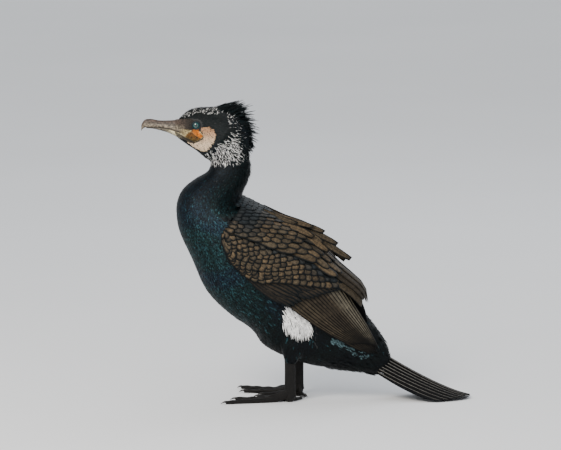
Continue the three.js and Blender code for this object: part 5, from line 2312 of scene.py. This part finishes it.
@dataclass
class Studio:
    """Plain floor, soft lights and the camera at the photo's angle."""

    photo_width: int = 561
    photo_height: int = 450
    mm_per_pixel: float = 1.65
    # Pixel of the bird's own origin, and the height of the view in degrees
    origin_pixel: Pair = (293.0, 398.6)
    elevation: float = 8.0
    distance_m: float = 9.0
    floor_half_m: float = 40.0
    # Height that the lights point at
    aim_m: float = 0.25
    sky: str = "#eef1f5"
    sky_strength: float = 1.0
    # Name, place in metres, energy in watts, size in metres and colour of each light
    lamps: tuple[tuple, ...] = (
        ("key", (-1.4, -2.4, 2.4), 120.0, 1.4, "#fff8ee"),
        ("fill", (2.2, -2.6, 1.0), 18.0, 2.4, "#e8f0ff"),
        ("rim", (1.2, 2.2, 2.2), 16.0, 1.6, "#f2f7ff"),
    )

    def camera(self) -> None:
        """Set the camera so that the photo's frame falls on the bird."""
        tilt = math.radians(self.elevation)
        x = (self.photo_width / 2 - self.origin_pixel[0]) * self.mm_per_pixel
        z = (self.origin_pixel[1] - self.photo_height / 2) * self.mm_per_pixel / math.cos(tilt)
        target = Vector((np.array([x, 0, z]) + SHIFT) * MM)
        data = bpy.data.cameras.new("camera")
        data.sensor_width = 36.0
        data.sensor_fit = "HORIZONTAL"
        data.lens = data.sensor_width * self.distance_m / (self.photo_width * self.mm_per_pixel * MM)
        data.clip_end = 100.0
        camera = linked("camera", data)
        camera.location = target + self.distance_m * Vector((0, -math.cos(tilt), math.sin(tilt)))
        camera.rotation_euler = (target - camera.location).to_track_quat("-Z", "Y").to_euler()
        bpy.context.scene.camera = camera

    def floor(self, material: Material) -> None:
        """Lay the floor.

        Args:
            material: Its material.
        """
        bm = bmesh.new()
        bmesh.ops.create_grid(bm, x_segments=4, y_segments=4, size=self.floor_half_m)
        mesh = bpy.data.meshes.new("floor")
        bm.to_mesh(mesh)
        bm.free()
        show(mesh, material)

    def lights(self) -> None:
        """Hang a large soft key, a fill and a rim light, under a pale sky."""
        for name, place, energy, size, colour in self.lamps:
            data = bpy.data.lights.new(name, "AREA")
            data.energy, data.size = energy, size
            data.color = linear(colour)[:3]
            lamp = linked(name, data)
            lamp.location = place
            aim = Vector((0, 0, self.aim_m)) - lamp.location
            lamp.rotation_euler = aim.to_track_quat("-Z", "Y").to_euler()
        world = bpy.data.worlds.new("studio")
        world.use_nodes = True
        background = world.node_tree.nodes["Background"]
        background.inputs["Color"].default_value = linear(self.sky)
        background.inputs["Strength"].default_value = self.sky_strength
        bpy.context.scene.world = world

    def build(self, material: Material) -> None:
        """Make camera, floor and lights.

        Args:
            material: Material of the floor.
        """
        self.camera()
        self.floor(material)
        self.lights()


def make_materials() -> Materials:
    """Make every finish of the bird once.

    Returns:
        Materials by their plain names.
    """
    eye_x, _, eye_z, _ = FORM.eye
    centre = tuple((np.array([eye_x, 0, eye_z]) + SHIFT)[[0, 2]] * MM)
    finishes = {
        # Body feathers: black melanin under a thin film, so the gloss is blue-green
        "plumage": VaneFinish(
            "glossy black body feathers", roughness=0.5, metallic=0.6, ior=1.35, rim_mm=0.5,
            rim_share=0.35, rim_colour="#020303", shaft_share=0.0, cloud_mm=2.6, cloud_range=(0.15, 2.5)),
        # Scapulars and coverts: bronze-brown vanes with a glossy blue-black border and a painted highlight
        # on their middles
        "scaly": VaneFinish(
            "bronze scaly feathers", roughness=0.55, metallic=0.1, ior=1.25, rim_mm=2.5, rim_share=0.98,
            rim_colour="#040a0d", shaft_share=0.5, glow=0.45, cloud_mm=3.5, cloud_range=(0.55, 1.5)),
        "edged": VaneFinish(
            "bronze feathers with a thin border", roughness=0.55, ior=1.22, rim_mm=1.2, rim_share=0.95,
            rim_colour="#040708", cloud_mm=3.0, cloud_range=(0.6, 1.45)),
        # Near-black rim: partly the dark edge of each feather, partly painted shade in the gaps between
        # them
        "flight": VaneFinish(
            "brown flight feathers", roughness=0.55, ior=1.22, rim_mm=1.9, rim_share=0.98,
            rim_colour="#020202", shaft_mm=0.2, shaft_share=0.6, barb_contrast=0.15),
        "quill": VaneFinish(
            "stiff grey tail feathers", roughness=0.6, ior=1.15, rim_mm=1.4, rim_colour="#060708"),
        # Short feathers of cheek, crown and throat: no film, so no gloss
        "short": VaneFinish(
            "short matt feathers of the face", roughness=0.6, ior=1.3, rim_share=0.0, shaft_share=0.0,
            barb_contrast=0.1, cloud_range=(0.85, 1.12)),
        "plume": VaneFinish(
            "white plumes", roughness=0.6, sheen=0.2, rim_share=0.0, shaft_share=0.0, barb_contrast=0.1),
        "down": VaneFinish("dark down", roughness=0.8, ior=1.1, rim_share=0.0, shaft_share=0.0),
        "skin": MottleFinish(
            "dark down and skin", roughness=0.7, stops=((0.3, "#050607"), (0.7, "#0d1214"))),
        # Bill: keratin, worn dull, with brown streaks along its length
        "horn": MottleFinish(
            "streaked horn of the upper bill", roughness=0.42, ior=1.35, paint_share=0.92,
            mottle=(0.05, 1.65), grain_mm=(4.4, 1.8, 1.6), relief_mm=0.2,
            stops=((0.28, "#2a231d"), (0.45, "#6a5c4f"), (0.62, "#8f8172"), (0.8, "#4b4038"))),
        "lower_horn": MottleFinish(
            "pale horn of the lower bill", roughness=0.42, ior=1.35, paint_share=0.92,
            mottle=(0.15, 1.3), grain_mm=(4.0, 1.8, 1.6), stops=((0.3, "#5a4e40"), (0.7, "#c9bf9a"))),
        "face": MottleFinish(
            "bare skin of the face", roughness=0.5, ior=1.32, paint_share=0.96, mottle=(0.15, 1.6),
            grain_mm=(3.2, 3.2, 2.4), relief_mm=0.25, pores_mm=0.9,
            stops=((0.3, "#3a3026"), (0.7, "#8a7f6e"))),
        "lids": MottleFinish(
            "blue beads of the lids", roughness=0.35, ior=1.3, grain_mm=(0.8, 0.8, 0.8),
            stops=((0.3, "#030c0f"), (0.7, "#0a323b"))),
        "iris": EyeFinish("wet emerald eye", roughness=0.06, coat=1.0, centre=centre),
        "shaft": MottleFinish(
            "pale quill shafts", roughness=0.4, grain_mm=(8, 2, 2), relief_mm=0.03,
            stops=((0.3, "#4d4b46"), (0.7, "#7d7a72"))),
        "leg": MottleFinish(
            "black scaled skin of the legs", roughness=0.5, ior=1.3, grain_mm=(3, 3, 3), relief_mm=0.35,
            pores_mm=1.5, stops=((0.3, "#040404"), (0.7, "#15120f"))),
        "claw": MottleFinish(
            "dark horn of the claws", roughness=0.3, coat=0.3, grain_mm=(3, 1, 1),
            stops=((0.3, "#0c0b0b"), (0.7, "#35302b"))),
        "floor": PlainFinish("pale studio floor", roughness=0.85, colour="#e6e7e8"),
    }
    return {name: finish.material() for name, finish in finishes.items()}


def main() -> None:
    """Build the bird piece by piece, then the studio round it."""
    logging.basicConfig(level=logging.INFO, format="%(name)s %(message)s")
    materials = make_materials()
    skin = Skin()
    flesh = ("head", "neck_upper", "neck_lower", "torso", "thigh_left", "thigh_right")
    add_piece(skin.mesh, materials["skin"], "plumage", *flesh)
    Coat(skin).build(materials)
    Plumes(skin).build(materials)
    Crest().build(skin, materials["plumage"])
    Mantle().build(materials)
    for side in Side:
        Wing(side).build(materials)
        Leg(side).build(materials)
    Tail().build(materials)
    Bill().build(materials)
    Face().build(materials)
    Studio().build(materials["floor"])


if __name__ == "__main__":
    main()
